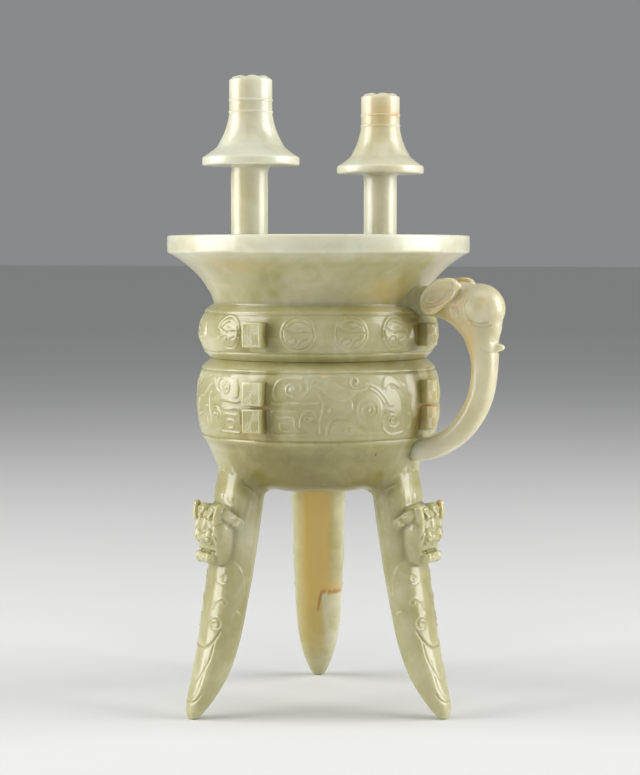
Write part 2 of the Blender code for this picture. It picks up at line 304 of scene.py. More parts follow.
# %% Ridges of the lower band
band_radius = 38.8
DEGREE = band_radius * math.pi / 180
lower_ridges = [
    [(8.7, 100.6), (12, 100.4), (18, 100.7), (24, 100.5), (30, 100.8)],
    [(22.5, 108.1), (16, 108.2), (11.6, 107.2), (9.8, 105.0), (9.6, 102.9), (10.8, 101.8)],
    [(24.4, 107.4), (25.4, 105.8), (24.8, 104.0), (22.8, 103.0)],
    [(21.5, 106.6), (22.4, 105.6), (22.0, 104.4)],
    [(19.5, 98.0), (14, 98.2), (8.9, 98.0), (8.6, 94.5), (8.8, 91.1), (14, 90.8), (20, 90.9), (24.5, 91.3)],
    [(10.6, 96.2), (15, 96.3), (18.8, 96.1), (19.2, 94.4), (19.6, 93.0), (21.5, 91.9)],
    [(17, 94.5), (14, 94.6), (12.6, 94.1), (12.4, 93.0), (13.5, 92.2), (16.2, 92.1)],
    [(21.5, 93.4), (21.7, 95.5), (22.6, 97.0), (24.6, 98.3), (27.4, 98.3), (29.0, 96.6)],
    [(26.5, 105.4), (27.0, 106.6), (28.4, 107.5), (30.0, 107.2)],
    [(31.5, 108.3), (34, 107.9), (37, 106.6), (41.5, 104.8), (47, 104.2), (52, 104.9)],
    [(27, 106.1), (31, 105.4), (34, 103.4), (37.8, 101.9), (42, 101.6)],
    [(51.5, 106.2), (54, 106.0), (57.5, 104.9), (61, 102.6), (63.8, 99.9), (65.6, 99.6)],
    [(54, 104.7), (56.5, 103.9), (59, 102.4), (61.2, 100.4)],
    [(41.5, 101.3), (43.2, 101.7), (44.8, 100.8), (45.0, 99.0)],
    [(33.5, 91.0), (33.7, 93.5), (35.4, 95.5), (38.5, 96.3), (42, 96.2), (44.5, 95.4)],
    [(37.5, 92.6), (38.4, 94.1), (41, 94.8), (43.8, 94.4), (47, 92.9), (51, 91.6), (56, 91.0), (61, 91.0)],
    [(65.5, 105.2), (68.3, 104.6), (70.8, 102.2), (72.2, 98.6), (71.8, 95.5)],
    [(61.8, 97.3), (64.3, 98.0), (67.0, 97.3), (68.6, 95.6)],
    [(64.0, 93.6), (65.6, 92.8), (68, 92.7), (69.8, 93.6)],
    [(60.6, 94.4), (61.2, 92.3), (64.5, 90.6), (69, 90.4), (73, 91.2)],
    [(75.2, 103.6), (76.6, 102.9), (77.2, 101.2), (76.4, 99.6)],
    [(75.4, 96.8), (77.2, 95.6), (77.6, 93.4), (76, 91.8)],
    [(30.2, 103.0), (31.6, 101.6), (31.6, 98.6), (30.4, 95.0), (30.6, 91.6)],
]
lower_rings = [
    # centre in degrees and height, then the spiral's inner and outer radius, turns and start
    ((17.5, 104.9), 0.5, 1.9, 1.25, 200),
    ((25.0, 96.0), 0.3, 1.7, 1.3, 30),
    ((46.6, 107.0), 0.5, 2.0, 1.1, 260),
    ((53.0, 98.3), 0.5, 4.1, 2.2, 120),
    ((66.0, 94.9), 0.4, 1.9, 1.3, 60),
]
lower_dots = [(26.2, 96.1), (42.0, 92.2), (44.6, 92.4), (17.6, 104.8), (53.0, 98.3), (34.5, 98.4)]
lower_fields = [
    [(27, 106.1), (31.5, 107.9), (37, 106.4), (41.5, 104.7), (47, 104.0), (44, 101.8), (42, 101.4),
     (37.8, 101.9), (34, 103.4), (31, 105.3)],
    [(46.5, 98.3), (48.5, 102.4), (53, 103.6), (58, 102.2), (60, 98.3), (57.5, 94.4), (53, 92.9),
     (48.5, 94.2)],
    [(35, 91.2), (36, 94.0), (39, 95.8), (43, 95.2), (47, 92.8), (53, 91.2), (44, 90.9)],
    [(60.3, 105.0), (61.2, 107.4), (64, 108.6), (68, 108.1), (71.2, 106.5), (73.4, 105.3), (70, 104.9),
     (65.5, 106.2), (62.5, 104.6)],
]
lower_grooves = [
    [(61.5, 104.4), (65.0, 105.9), (69.5, 104.6)],
]
# how wide, high and softly edged each kind of line is, in mm; a field has a height and an edge
ridge_form = (0.32, 0.31, 0.42)
spiral_form = (0.35, 0.32, 0.4)
groove_form = (0.35, -0.3, 0.4)
field_form = (0.16, 0.8)
dot_size = 0.8
dot_height = 0.38
rim_rise = 0.1

# %% [markdown]
# ## The upper band
# Between the blocks of the upper band sit three roundels a quarter. Each is a low disc inside a cut
# ring, with a few strokes that make a coiled creature.

# %% Roundels
roundel_height = 121.7
roundel_size = 5.7
roundel_rise = 0.3
roundel_ring = 0.26
stroke_depth = 0.3
deepest_stroke = 0.34
roundel_turns = (21.4, 45.1, 69.4, 107.0, 135.0, 159.0)
roundel_strokes = [
    # points from the roundel's middle, and width
    ([(-4.2, 0.2), (-2.0, 0.5), (0.5, 0.2), (2.6, 0.6), (4.0, 1.6)], 0.3),
    ([(-3.4, 2.2), (-1.6, 3.2), (0.8, 3.3), (2.6, 2.3)], 0.3),
    ([(-3.0, -1.4), (-1.2, -2.2), (-0.4, -3.6)], 0.3),
    ([(0.8, -1.2), (2.6, -1.6), (3.4, -2.8)], 0.3),
    ([(-1.6, 1.8), (-0.4, 1.5), (0.8, 1.9)], 0.25),
    ([(1.8, -3.4), (0.4, -2.6), (0.4, -1.4)], 0.25),
]


def fold(points):
    """Degrees from the nearest post's block, for points round the cup's axis."""
    angle = np.degrees(np.arctan2(points[:, 1], points[:, 0]))
    return np.abs(np.abs(angle) - 90)


def lift(item, relief, points):
    """Moves the outer wall's points away from the axis by the relief, in millimetres."""
    across = from_axis(points)
    relief = np.where(across > carved_from * MM, relief, 0) * MM
    points[:, :2] *= (1 + relief / across)[:, None]
    move_points(item, points)


# the heights of each edge's groove and of the bead beside it
lower_edges = ((109.3, 110.1), (88.7, 87.9))
upper_edges = ((127.3, 128.0), (115.5, 114.8))
edge_groove_half = 0.45
edge_bead_half = 0.5
edge_soft = 0.4


def edge_lines(relief, height, edges, depth, rise):
    """Cuts a groove along each edge of a band, and raises a fine bead beside it."""
    for edge, bead in edges:
        relief -= depth * soft_step((edge_groove_half - np.abs(height - edge)) / edge_soft)
        relief += rise * soft_step((edge_bead_half - np.abs(height - bead)) / edge_soft)


# %% Turning the two rings
ring_step = 0.33
carved_from = 34.9  # nearer to the axis than this the wall stays plain
lower_inside = 32.6
upper_inside = 31.9
lower_columns = 800
upper_columns = 720
groove_point = (34.5, 112.8)
lower_wall = [
    groove_point, (35.0, 112.3), (35.8, 111.65), (36.6, 110.85), (37.2, 110.0), (37.8, 108.9),
    (38.5, 106.0), (38.9, 102.0), (38.9, 97.0), (38.6, 93.4), (38.3, 91.5), (38.0, 89.9), (37.6, 88.5),
    (37.0, 87.3), (36.3, 86.3), (35.75, 85.3), (35.33, 84.3), (35.0, 83.3),
]
upper_wall = [
    (33.82, 130.8), (33.7, 130.3), (33.9, 129.95), (34.4, 129.65), (35.1, 129.2), (36.0, 128.5),
    (36.6, 127.6), (37.1, 126.35), (37.9, 124.4), (38.3, 121.5), (38.3, 119.6), (37.7, 117.65),
    (37.2, 115.9), (36.7, 115.0), (36.0, 114.2), (35.2, 113.45), groove_point,
]


def band_ring(name, wall, inner, columns):
    """A closed ring: the carved wall outside, and a plain wall that lies inside the core's stone."""
    face = list(evenly(smooth_line(wall), ring_step))
    top, bottom = wall[0][1], wall[-1][1]
    back = [(inner, bottom), (inner, (top + bottom) / 2), (inner, top), tuple(face[0])]
    return turned(name, face + back, columns)


lower_ring = band_ring("lower_band_of_jade", lower_wall, lower_inside, lower_columns)
upper_ring = band_ring("upper_band_of_jade", upper_wall, upper_inside, upper_columns)
print("rings:", count_faces(lower_ring), "and", count_faces(upper_ring), "triangles")

# %% Carving the lower band
points = points_of(lower_ring)
angle = fold(points)
height = points[:, 2] / MM
spots = np.stack([angle * DEGREE, height], axis=1)
relief = np.zeros(len(points))


def on_wall(line):
    """Degrees from the post's block and height, as millimetres on the wall."""
    return [(u * DEGREE, z) for u, z in line]


for outline in lower_fields:
    raise_field(relief, spots, on_wall(outline), *field_form)
for line in lower_ridges:
    carve(relief, spots, on_wall(line), *ridge_form)
for (u, z), inner, outer, turns, start in lower_rings:
    carve(relief, spots, spiral((u * DEGREE, z), inner, outer, turns, start), *spiral_form)
for u, z in lower_dots:
    gap = np.hypot(spots[:, 0] - u * DEGREE, spots[:, 1] - z)
    relief = np.maximum(relief, dot_height * soft_step((dot_size - gap) / 0.6))
for line in lower_grooves:
    carve(relief, spots, on_wall(line), *groove_form)
edge_lines(relief, height, lower_edges, 0.3, 0.14)
relief += rim_rise * between(height, 109.6, 111.4, 0.3, 0.6)
relief += rim_rise * between(height, 86.4, 88.4, 0.6, 0.3)
lift(lower_ring, relief, points)
tell_relief("lower band", relief)

# %% Carving the upper band
points = points_of(upper_ring)
angle = np.abs(np.degrees(np.arctan2(points[:, 1], points[:, 0])))
height = points[:, 2] / MM
relief = np.zeros(len(points))
for turn in roundel_turns:
    spots = np.stack([(angle - turn) * DEGREE, height - roundel_height], axis=1)
    gap = np.hypot(spots[:, 0], spots[:, 1])
    relief += roundel_rise * soft_step((roundel_size - gap) / 0.5)
    relief -= roundel_ring * soft_step((0.35 - np.abs(gap - roundel_size + 0.9)) / 0.3)
    marks = np.zeros(len(points))
    for line, width in roundel_strokes:
        carve(marks, spots, line, width, -stroke_depth, 0.35)
    relief += np.maximum(marks, -deepest_stroke)
edge_lines(relief, height, upper_edges, 0.26, 0.12)
lift(upper_ring, relief, points)
tell_relief("upper band", relief)

# %% [markdown]
# ## The squared blocks
# The blocks stand two to three millimetres out of the bands. Their faces are cut with fine slanting
# lines that turn at the middle, so that they draw an X. A cube is bevelled, its face is inset for the
# plain margin and divided, and the grid's points are sunk where a line passes.

# %% Blocks
block_out = 41.2
block_in = 35.0
block_wide = 7.0
block_margin = 0.2
hatch_cuts = 30
hatch_depth = 0.17
hatch_pitch = 0.86
hatch_half = 0.3
hatch_soft = 0.25
worn_edge = 0.5
upper_block = (117.3, 125.2)
handle_block = (117.3, 124.5)
lower_blocks = ((91.0, 98.6), (99.4, 106.9))


def block(angle, bottom, top):
    """A block at a turn round the cup, in radians, from its bottom to its top."""
    let_go()
    centre = ((block_out + block_in) / 2 * MM, 0, (bottom + top) / 2 * MM)
    bpy.ops.mesh.primitive_cube_add(size=1, location=centre)
    item = bpy.context.object
    item.scale = ((block_out - block_in) * MM, block_wide * MM, (top - bottom) * MM)
    bpy.ops.object.transform_apply(location=True, scale=True)
    bevel = item.modifiers.new("worn edges", "BEVEL")
    bevel.width = worn_edge * MM
    bevel.segments = 3
    apply_all(item)
    bpy.ops.object.mode_set(mode="EDIT")
    bpy.ops.mesh.select_all(action="DESELECT")
    bpy.ops.object.mode_set(mode="OBJECT")
    for face in item.data.polygons:
        face.select = face.normal.x > 0.99
    bpy.ops.object.mode_set(mode="EDIT")
    bpy.ops.mesh.inset(thickness=block_margin * MM)
    bpy.ops.mesh.subdivide(number_cuts=hatch_cuts)
    bpy.ops.object.mode_set(mode="OBJECT")
    points = points_of(item)
    picked = np.array([v.select for v in item.data.vertices])
    grid = points[picked]
    middle = (grid.max(axis=0) + grid.min(axis=0)) / 2
    across, up = ((grid - middle) / MM)[:, 1:].T
    on_edge = np.any(np.abs(grid - middle)[:, 1:] > (grid.max(axis=0) - middle)[1:] - 0.01 * MM, axis=1)
    slant = np.where(across * up > 0, across - up, across + up)
    off_line = np.abs(slant / hatch_pitch % 1 - 0.5) * hatch_pitch
    grid[:, 0] -= np.where(on_edge, 0, hatch_depth * soft_step((hatch_half - off_line) / hatch_soft)) * MM
    points[picked] = grid
    move_points(item, points)
    bpy.ops.transform.rotate(value=-angle, orient_axis="Z", center_override=(0, 0, 0))
    bpy.ops.object.transform_apply(rotation=True, location=True)
    return item


def united(body, parts):
    """Joins the parts in one mesh and unites that with the body."""
    tool = pick(*parts)
    if len(parts) > 1:
        bpy.ops.object.join()
    union = body.modifiers.new("one stone", "BOOLEAN")
    union.operation = "UNION"
    union.solver = "MANIFOLD"
    union.object = tool
    apply_all(body)
    bpy.data.objects.remove(tool, do_unlink=True)
    return body


quarter_turns = [k * math.pi / 2 for k in range(4)]
united(upper_ring, [block(turn, *(upper_block if turn else handle_block)) for turn in quarter_turns])
united(lower_ring, [block(turn, *span) for turn in quarter_turns for span in lower_blocks])
print("rings with their blocks:", count_faces(lower_ring), "and", count_faces(upper_ring), "triangles")

# %% [markdown]
# ## Posts and caps
# Two round posts stand on the lip and carry mushroom-shaped caps: a low disc, a bell and a knob with
# two fine rings, its top cut as a flower. Each is turned about its own axis, and its foot follows
# the slope of the flared wall, so that it ends inside the stone.

# %% Posts
post_circle = 41.8
post_foot = 141.0
post_top = 200.0
post_line = [
    (5.6, post_foot), (5.6, 150.0), (5.6, 156.0), (5.6, 163.0), (5.6, 170.0), (5.65, 172.2), (5.85, 172.6),
    (6.4, 172.85), (8.0, 172.97), (11.0, 173.0), (13.6, 173.0), (14.3, 173.06), (14.6, 173.25),
    (14.7, 173.6), (14.72, 174.3), (14.7, 175.1), (14.6, 175.45), (14.35, 175.65), (13.2, 176.4),
    (11.8, 177.4), (10.6, 178.35), (10.2, 178.75), (9.75, 179.5), (9.0, 180.9), (8.3, 182.3), (7.7, 183.8),
    (7.2, 185.4), (6.85, 186.8), (6.6, 188.2), (6.55, 188.75), (6.72, 188.9), (6.78, 189.1), (6.72, 189.3),
    (6.52, 189.45), (6.5, 191.0), (6.5, 192.3), (6.68, 192.45), (6.74, 192.65), (6.68, 192.85),
    (6.5, 193.0), (6.5, 195.0), (6.5, 197.4), (6.5, 198.5), (6.42, 198.85), (6.15, 199.02), (5.9, 199.1),
    (5.72, 199.3), (5.5, 199.62), (5.1, 199.88), (4.5, post_top), (3.8, 199.98), (3.0, 199.85), (2.2, 199.6),
    (1.6, 199.5), (1.1, 199.7), (0.6, 199.85),
]
petals = 7
petal_depth = 0.75
petals_from = 199.05
petals_inner = 1.2
petals_outer = 6.0
cap_from = 171.0
foot_to = 142.0
foot_in_wall = 1.6
near_cap_drop = 0.5
near_cap_shift = (0.39, 0.22)


def post(side):
    """A post with its cap, on the side of +Y or -Y. The one at -Y has its cap a little lower and aside."""
    line = [(0.0, post_foot), (2.8, post_foot)] + post_line + [(0.0, post_top)]
    item = turned("post", line, 96)
    points = points_of(item)
    around = np.arctan2(points[:, 1], points[:, 0])
    across = from_axis(points) / MM
    top = (points[:, 2] > petals_from * MM) & (across > petals_inner) & (across < petals_outer)
    wave = np.abs(np.cos(around * petals / 2)) ** 0.5
    points[:, 2] -= np.where(top, petal_depth * (1 - wave) * soft_step((across - petals_inner) / 2.5), 0) * MM
    if side < 0:
        cap = soft_step((points[:, 2] / MM - cap_from) / 2.0)
        points[:, 2] -= cap * near_cap_drop * MM
        points[:, 0] += cap * near_cap_shift[0] * MM
        points[:, 1] += cap * near_cap_shift[1] * MM
    points[:, 1] += side * post_circle * MM
    reach = from_axis(points) / MM
    flare = np.array(flare_line)[::-1]
    in_wall = np.interp(reach, flare[:, 0], flare[:, 1]) + foot_in_wall
    points[:, 2] = np.where(points[:, 2] < foot_to * MM, in_wall * MM, points[:, 2])
    move_points(item, points)
    return item


united(core, [post(1), post(-1)])
print("cup with its posts:", count_faces(core), "triangles")

# %% [markdown]
# ## Forms that grow out of one another
# The legs with their beast heads and the elephant handle were never separate shapes: they swell out
# of the same stone. They are blocked out from a few simple closed forms, as in clay, joined, and
# given one even skin by a voxel remesh. After a light smoothing the fine lines are cut into it.

# %% Blocking out
station_sides = 28
voxel = 0.33


def ball(middle, radii, tilt, roll):
    """An egg shape. Tilt leans it about Y and roll about X, in degrees."""
    let_go()
    bpy.ops.mesh.primitive_uv_sphere_add(segments=40, ring_count=24, radius=MM)
    item = bpy.context.object
    bpy.ops.object.mode_set(mode="EDIT")
    bpy.ops.transform.resize(value=radii, center_override=(0, 0, 0))
    bpy.ops.object.mode_set(mode="OBJECT")
    item.rotation_euler = (math.radians(roll), math.radians(tilt), 0)
    item.location = [v * MM for v in middle]
    bpy.ops.object.transform_apply(location=True, rotation=True, scale=True)
    return item


def balls(table):
    """One egg for each row of middle, radii, tilt and roll, or one on each side if it lies off the middle."""
    made = []
    for (x, y, z), radii, tilt, roll in table:
        made += [ball((x, side * y, z), radii, tilt, side * roll) for side in ((1, -1) if y else (1,))]
    return made


def rounded_square(around, squareness):
    """How far an outline between a circle and a square reaches at each angle, for a half width of 1."""
    return (np.abs(np.cos(around)) ** squareness + np.abs(np.sin(around)) ** squareness) ** (-1 / squareness)


def stacked(name, stations, squareness):
    """A rounded outline that is extruded from station to station and resized on the way.
    A station is its height, its middle's reach, and its half depth and half breadth."""
    let_go()
    bpy.ops.mesh.primitive_circle_add(vertices=station_sides, radius=1, fill_type="NGON")
    item = bpy.context.object
    item.name = name
    height, reach, deep, broad = stations[0]
    points = points_of(item)
    around = np.arctan2(points[:, 1], points[:, 0])
    swell = rounded_square(around, squareness)
    points[:, 0] = (reach + points[:, 0] * swell * deep) * MM
    points[:, 1] *= swell * broad * MM
    points[:, 2] = height * MM
    move_points(item, points)
    bpy.ops.object.mode_set(mode="EDIT")
    bpy.ops.mesh.select_all(action="SELECT")
    for (z0, r0, d0, b0), (z1, r1, d1, b1) in zip(stations[:-1], stations[1:]):
        step = ((r1 - r0) * MM, 0, (z1 - z0) * MM)
        bpy.ops.mesh.extrude_region_move(TRANSFORM_OT_translate={"value": step})
        bpy.ops.transform.resize(value=(d1 / d0, b1 / b0, 1), center_override=(r1 * MM, 0, z1 * MM))
    finish_edit()
    smooth = item.modifiers.new("rounder", "SUBSURF")
    smooth.levels = smooth.render_levels = 2
    return apply_all(item)


# %% One skin, and rubbing it down
def one_skin(name, parts, rounds):
    """Joins overlapping forms, gives them one even skin and smooths it."""
    item = pick(*parts)
    bpy.ops.object.join()
    item = bpy.context.object
    item.name = name
    item.data.remesh_voxel_size = voxel * MM
    bpy.ops.object.voxel_remesh()
    soften = item.modifiers.new("soften", "SMOOTH")
    soften.factor = 0.5
    soften.iterations = rounds
    return apply_all(item)


def rub_down(item, share, rounds):
    """Smooths a piece again and again, each point by its own share of the full amount."""
    group = item.vertex_groups.new(name="rubbed")
    for index in np.where(share > 0.01)[0]:
        group.add([int(index)], float(share[index]), "REPLACE")
    rub = item.modifiers.new("rub", "SMOOTH")
    rub.factor = 0.7
    rub.iterations = rounds
    rub.vertex_group = "rubbed"
    apply_all(item)
    item.vertex_groups.clear()


# %% [markdown]
# ## A leg
# Each leg is a blade that leaves the belly's edge, narrows and turns outwards to a blunt tip. The
# beast's head faces outwards at its shoulder, with a heavy brow, broad muzzle, open mouth, upright
# ears and leaf-shaped curls laid back along its sides. One leg is modelled towards +X and copied round.

# %% Leg and head, blocked out
leg_stations = [
    (0.0, 45.7, 0.9, 1.2), (0.3, 45.6, 1.5, 1.9), (1.2, 45.2, 2.2, 2.6), (2.4, 44.8, 2.75, 3.1),
    (4.0, 43.9, 3.4, 3.8), (6.0, 43.0, 3.95, 4.6), (8.7, 41.6, 4.5, 5.4), (11.4, 40.3, 4.9, 6.1),
    (14.0, 39.3, 5.3, 6.6), (16.8, 38.4, 5.55, 7.0), (19.5, 37.6, 5.75, 7.3), (23.0, 36.6, 5.9, 7.6),
    (28.0, 35.5, 6.0, 7.95), (33.0, 34.6, 6.15, 8.15), (38.0, 33.7, 6.2, 8.35), (46.0, 32.1, 6.35, 8.55),
    (55.0, 30.8, 6.4, 8.8), (65.0, 29.4, 6.6, 9.15), (71.0, 28.8, 6.9, 9.4), (74.5, 28.9, 6.4, 9.2),
    (77.5, 30.2, 4.2, 7.9), (80.0, 31.2, 2.3, 5.6), (81.8, 31.8, 1.2, 3.2),
]
head_stations = [
    (48.4, 36.6, 2.6, 4.8), (49.2, 36.8, 3.6, 6.2), (51.4, 37.2, 4.1, 7.0), (55.0, 37.2, 4.3, 7.5),
    (59.0, 37.4, 4.3, 7.6), (63.0, 37.2, 4.1, 7.4), (66.0, 36.4, 3.7, 6.8), (67.6, 35.4, 2.8, 5.4),
]
leg_squareness = 2.5
head_squareness = 2.8
cheek_rounds = 16
head_balls = [
    # the nose's ridge, muzzle, lower jaw, the sides of both, brows, eyes and cheeks,
    # then the upright ears, the leaves behind them and their curls
    ((40.2, 0, 60.6), (2.1, 2.2, 3.6), 0, 0),
    ((39.6, 0, 57.3), (3.4, 5.2, 3.0), 0, 0),
    ((39.2, 0, 51.1), (3.6, 4.8, 2.3), 0, 0),
    ((40.3, 3.6, 57.8), (2.7, 2.2, 2.9), 0, 0),
    ((40.4, 3.2, 51.1), (2.4, 2.2, 2.2), 0, 0),
    ((39.2, 3.5, 65.4), (2.2, 3.0, 2.3), 0, 0),
    ((40.9, 3.2, 63.9), (1.1, 1.2, 1.1), 0, 0),
    ((38.6, 6.0, 59.5), (3.0, 1.9, 5.5), 0, 0),
    ((40.2, 7.0, 64.7), (1.6, 1.3, 3.7), -6, -10),
    ((36.6, 7.8, 63.9), (3.6, 1.2, 1.7), -34, 0),
    ((34.4, 8.3, 62.3), (1.6, 1.1, 1.6), 0, 0),
]
leg_forms = [stacked("leg", leg_stations, leg_squareness), stacked("head", head_stations, head_squareness)]
leg = one_skin("leg_of_jade", leg_forms + balls(head_balls), 3)
points = points_of(leg) / MM
cheek = soft_step((np.abs(points[:, 1]) - 4.6) / 1.5) * soft_step((38.6 - points[:, 0]) / 1.6)
rub_down(leg, cheek * between(points[:, 2], 47, 69, 2, 2), cheek_rounds)
print("leg:", count_faces(leg), "triangles")

# %% [markdown]
# The lines on a leg and its head are drawn as they are seen from the photograph's side, three
# quarters to the front: how far out they lie across that view, and how high. The drawing is pressed
# onto the surface that faces that way, and mirrored onto the leg's other flank.

# %% Lines seen from three quarters
view_turn = math.radians(60)
leg_ridge_form = (0.35, 0.26, 0.4)
shoulder_ridge_form = (0.4, 0.3, 0.45)
line_edge = 0.4


def three_quarter(points, normals):
    """For each point its place across the view and its height in mm, and how squarely it faces the view."""
    across = math.sin(view_turn) * points[:, 0] - math.cos(view_turn) * np.abs(points[:, 1])
    side = np.where(points[:, 1] < 0, -1, 1)
    facing = math.cos(view_turn) * normals[:, 0] + math.sin(view_turn) * normals[:, 1] * side
    return np.stack([across, points[:, 2]], axis=1), soft_step((facing - 0.05) / 0.3)


def press(item, relief, weight):
    """Moves a piece's points along their normals by the relief, in millimetres."""
    points = points_of(item) + points_of(item, "normal") * (relief * weight * MM)[:, None]
    move_points(item, points)


spots, weight = three_quarter(points_of(leg) / MM, points_of(leg, "normal"))
relief = np.zeros(len(spots))
leg_ridges = [
    [(31.6, 67.4), (30.1, 67.0), (28.7, 66.3), (27.2, 65.3), (25.5, 63.9), (24.3, 63.0), (23.7, 62.0),
     (24.0, 60.9), (25.0, 60.3), (26.2, 60.4), (26.7, 61.2), (26.1, 62.0), (25.3, 61.8)],
    [(26.5, 50.1), (25.4, 49.1), (24.4, 47.2), (23.7, 44.9), (23.4, 42.3), (23.4, 39.1)],
    [(30.6, 44.9), (30.2, 45.8), (29.3, 46.0), (28.6, 45.2), (28.9, 44.0), (29.9, 43.7), (30.2, 44.4)],
    [(31.7, 43.6), (30.4, 42.8), (28.8, 43.1)],
    [(33.1, 35.0), (32.6, 36.5), (31.4, 37.8), (30.1, 38.5), (28.9, 38.2), (28.4, 37.3), (28.8, 36.4),
     (29.8, 36.4), (30.1, 37.1)],
    [(27.0, 32.9), (26.8, 33.6), (25.9, 34.0), (24.9, 33.6), (24.5, 32.8)],
    [(33.5, 31.5), (32.7, 32.4), (31.4, 32.5), (30.4, 31.5), (30.4, 29.9), (31.3, 28.7), (32.7, 28.5),
     (33.6, 29.5), (33.3, 30.8), (32.4, 31.3), (31.6, 30.7), (31.8, 29.9)],
]
leg_grooves = [
    # points, width and depth in mm
    ([(38.4, 23.0), (36.7, 22.6), (34.8, 23.2), (33.3, 24.5), (31.6, 26.8), (30.6, 28.4)], 0.5, -0.35),
    ([(32.5, 25.0), (33.3, 21.8), (34.3, 18.7), (36.2, 15.5), (38.0, 12.9), (39.6, 11.3)], 0.4, -0.2),
    ([(35.4, 18.7), (36.7, 12.4), (38.3, 8.7), (41.2, 5.9)], 0.4, -0.16),
    ([(41.2, 6.0), (39.6, 5.6), (38.0, 6.7), (36.8, 8.4)], 0.45, -0.28),
]
head_grooves = [
    ([(35.5, 64.4), (35.1, 65.4), (34.3, 66.0), (33.4, 65.7), (33.2, 64.7), (33.9, 63.6), (34.9, 63.3),
      (35.5, 64.2)], 0.35, -0.45),
    ([(36.9, 64.9), (36.2, 66.0), (35.1, 66.9)], 0.3, -0.35),
    ([(36.6, 64.0), (36.0, 65.3), (34.9, 66.5)], 0.3, -0.3),
    ([(34.3, 66.9), (33.3, 67.2), (32.4, 66.7)], 0.3, -0.35),
    ([(32.4, 66.6), (33.0, 65.3), (33.7, 63.6), (33.9, 61.9), (33.6, 60.4), (32.7, 58.9),
      (31.7, 57.2)], 0.4, -0.28),
    ([(35.0, 57.6), (34.3, 57.7), (33.8, 57.2), (34.1, 56.2), (35.2, 55.8), (36.4, 56.1)], 0.35, -0.4),
    ([(39.5, 54.0), (37.8, 53.7), (36.2, 53.2), (34.5, 53.1), (32.6, 53.1)], 0.8, -0.95),
    ([(37.7, 51.7), (36.9, 52.7)], 0.3, -0.4),
    ([(36.9, 51.5), (36.2, 52.5)], 0.3, -0.4),
    ([(34.4, 51.7), (33.4, 52.5)], 0.3, -0.35),
]
for line in leg_ridges:
    carve(relief, spots, line, *leg_ridge_form)
for line, width, depth in leg_grooves + head_grooves:
    carve(relief, spots, line, width, depth, line_edge)
press(leg, relief, weight)
tell_relief("leg", relief)

# %% [markdown]
# ## Belly and legs in one
# In the real piece a leg flows out of the belly with no crease. The rounded belly is turned as a
# bowl that lies around the core, the leg is copied to three places round it, and all four are united.
# The corner between them is then rubbed down: only points near it are smoothed, many times over, in
# a wide zone on the flanks and in a narrow one underneath.

# %% Three legs and the belly
kept_share = 0.55
leg_turns = (0, 120, 240)
thinner = leg.modifiers.new("fewer faces", "DECIMATE")
thinner.ratio = kept_share
apply_all(leg)
legs = []
for turn in leg_turns:
    let_go()
    copy = leg.copy()
    copy.data = leg.data.copy()
    bpy.context.collection.objects.link(copy)
    pick(copy)
    copy.rotation_euler = (0, 0, math.radians(turn))
    bpy.ops.object.transform_apply(rotation=True)
    legs.append(copy)
bpy.data.objects.remove(leg, do_unlink=True)
under_belly = 71.8
bowl_line = (
    [(0.0, 74.7), (10.0, 74.7), (20.0, 74.7), (26.0, 75.2), (29.0, 76.8), (30.6, 79.0), (31.5, 82.0)]
    + [(31.8, 85.0), (32.2, 87.4), (33.2, 87.6), (34.3, 86.6), (35.0, 85.6)]
    + list(evenly(smooth_line(belly_line), 0.75))
    + [(r, under_belly) for r in (19.0, 18.0, 17.0, 15.5, 13.0, 9.0, 4.0, 0.0)]
)
base = united(turned("belly_and_legs_of_jade", bowl_line, 288), legs)
print("belly and legs:", count_faces(base), "triangles")

# %% Rubbing the corners down
corner_rounds = 190
leg_root = 79.0
narrow_zone = 2.6
wider_by = 9.5
flanks_from = 70.8
rubbed_to = 84.0


def outside_belly(points):
    """How far points lie outside the belly, in mm."""
    across = from_axis(points) / MM
    height = points[:, 2] / MM
    wall = np.array(belly_line)[::-1]
    beside = across - np.interp(height, wall[:, 1], wall[:, 0])
    beneath = np.hypot(under_belly - height, np.maximum(across - 27.0, 0) * 0.5)
    return np.where(height < under_belly, beneath, beside)


def leg_frame(points, turn):
    """The same points or normals, turned so that the leg which stands at a turn points along +X."""
    c, s = math.cos(math.radians(turn)), math.sin(math.radians(turn))
    return points @ np.array([[c, -s, 0], [s, c, 0], [0, 0, 1]])


def outside_leg(points, turn):
    """How far points lie outside the leg that stands at a turn, in mm."""
    x, y, z = leg_frame(points, turn).T / MM
    table = np.array(leg_stations)
    reach, deep, broad = (np.interp(z, table[:, 0], table[:, k]) for k in (1, 2, 3))
    powers = np.abs((x - reach) / deep) ** leg_squareness + np.abs(y / broad) ** leg_squareness
    return (powers ** (1 / leg_squareness) - 1) * np.minimum(deep, broad) + np.maximum(z - leg_root, 0)


points = points_of(base)
beyond = np.min([np.abs(outside_leg(points, turn)) for turn in leg_turns], axis=0)
across = from_axis(points) / MM
height = points[:, 2] / MM
zone = narrow_zone + wider_by * soft_step((height - flanks_from) / 3.0)
share = soft_step(1.15 - np.maximum(np.abs(outside_belly(points)), beyond) / zone)
# the bowl's inner face, and its rim under the band, stay as they were turned
share[(height > 73.0) & (across < 31.0) & (np.abs(outside_belly(points)) > 2.0)] = 0
share[height > rubbed_to] = 0
rub_down(base, share, corner_rounds)
points = points_of(base) / MM
across = from_axis(points)
below_corner = (floor_height + corner - points[:, 2]).clip(0)
bowl_side = hollow - corner + np.sqrt(np.maximum(corner ** 2 - below_corner ** 2, 0))
in_hollow = (points[:, 2] > floor_height) & (across < bowl_side)
print("points of the base that show inside the cup:", int(in_hollow.sum()))

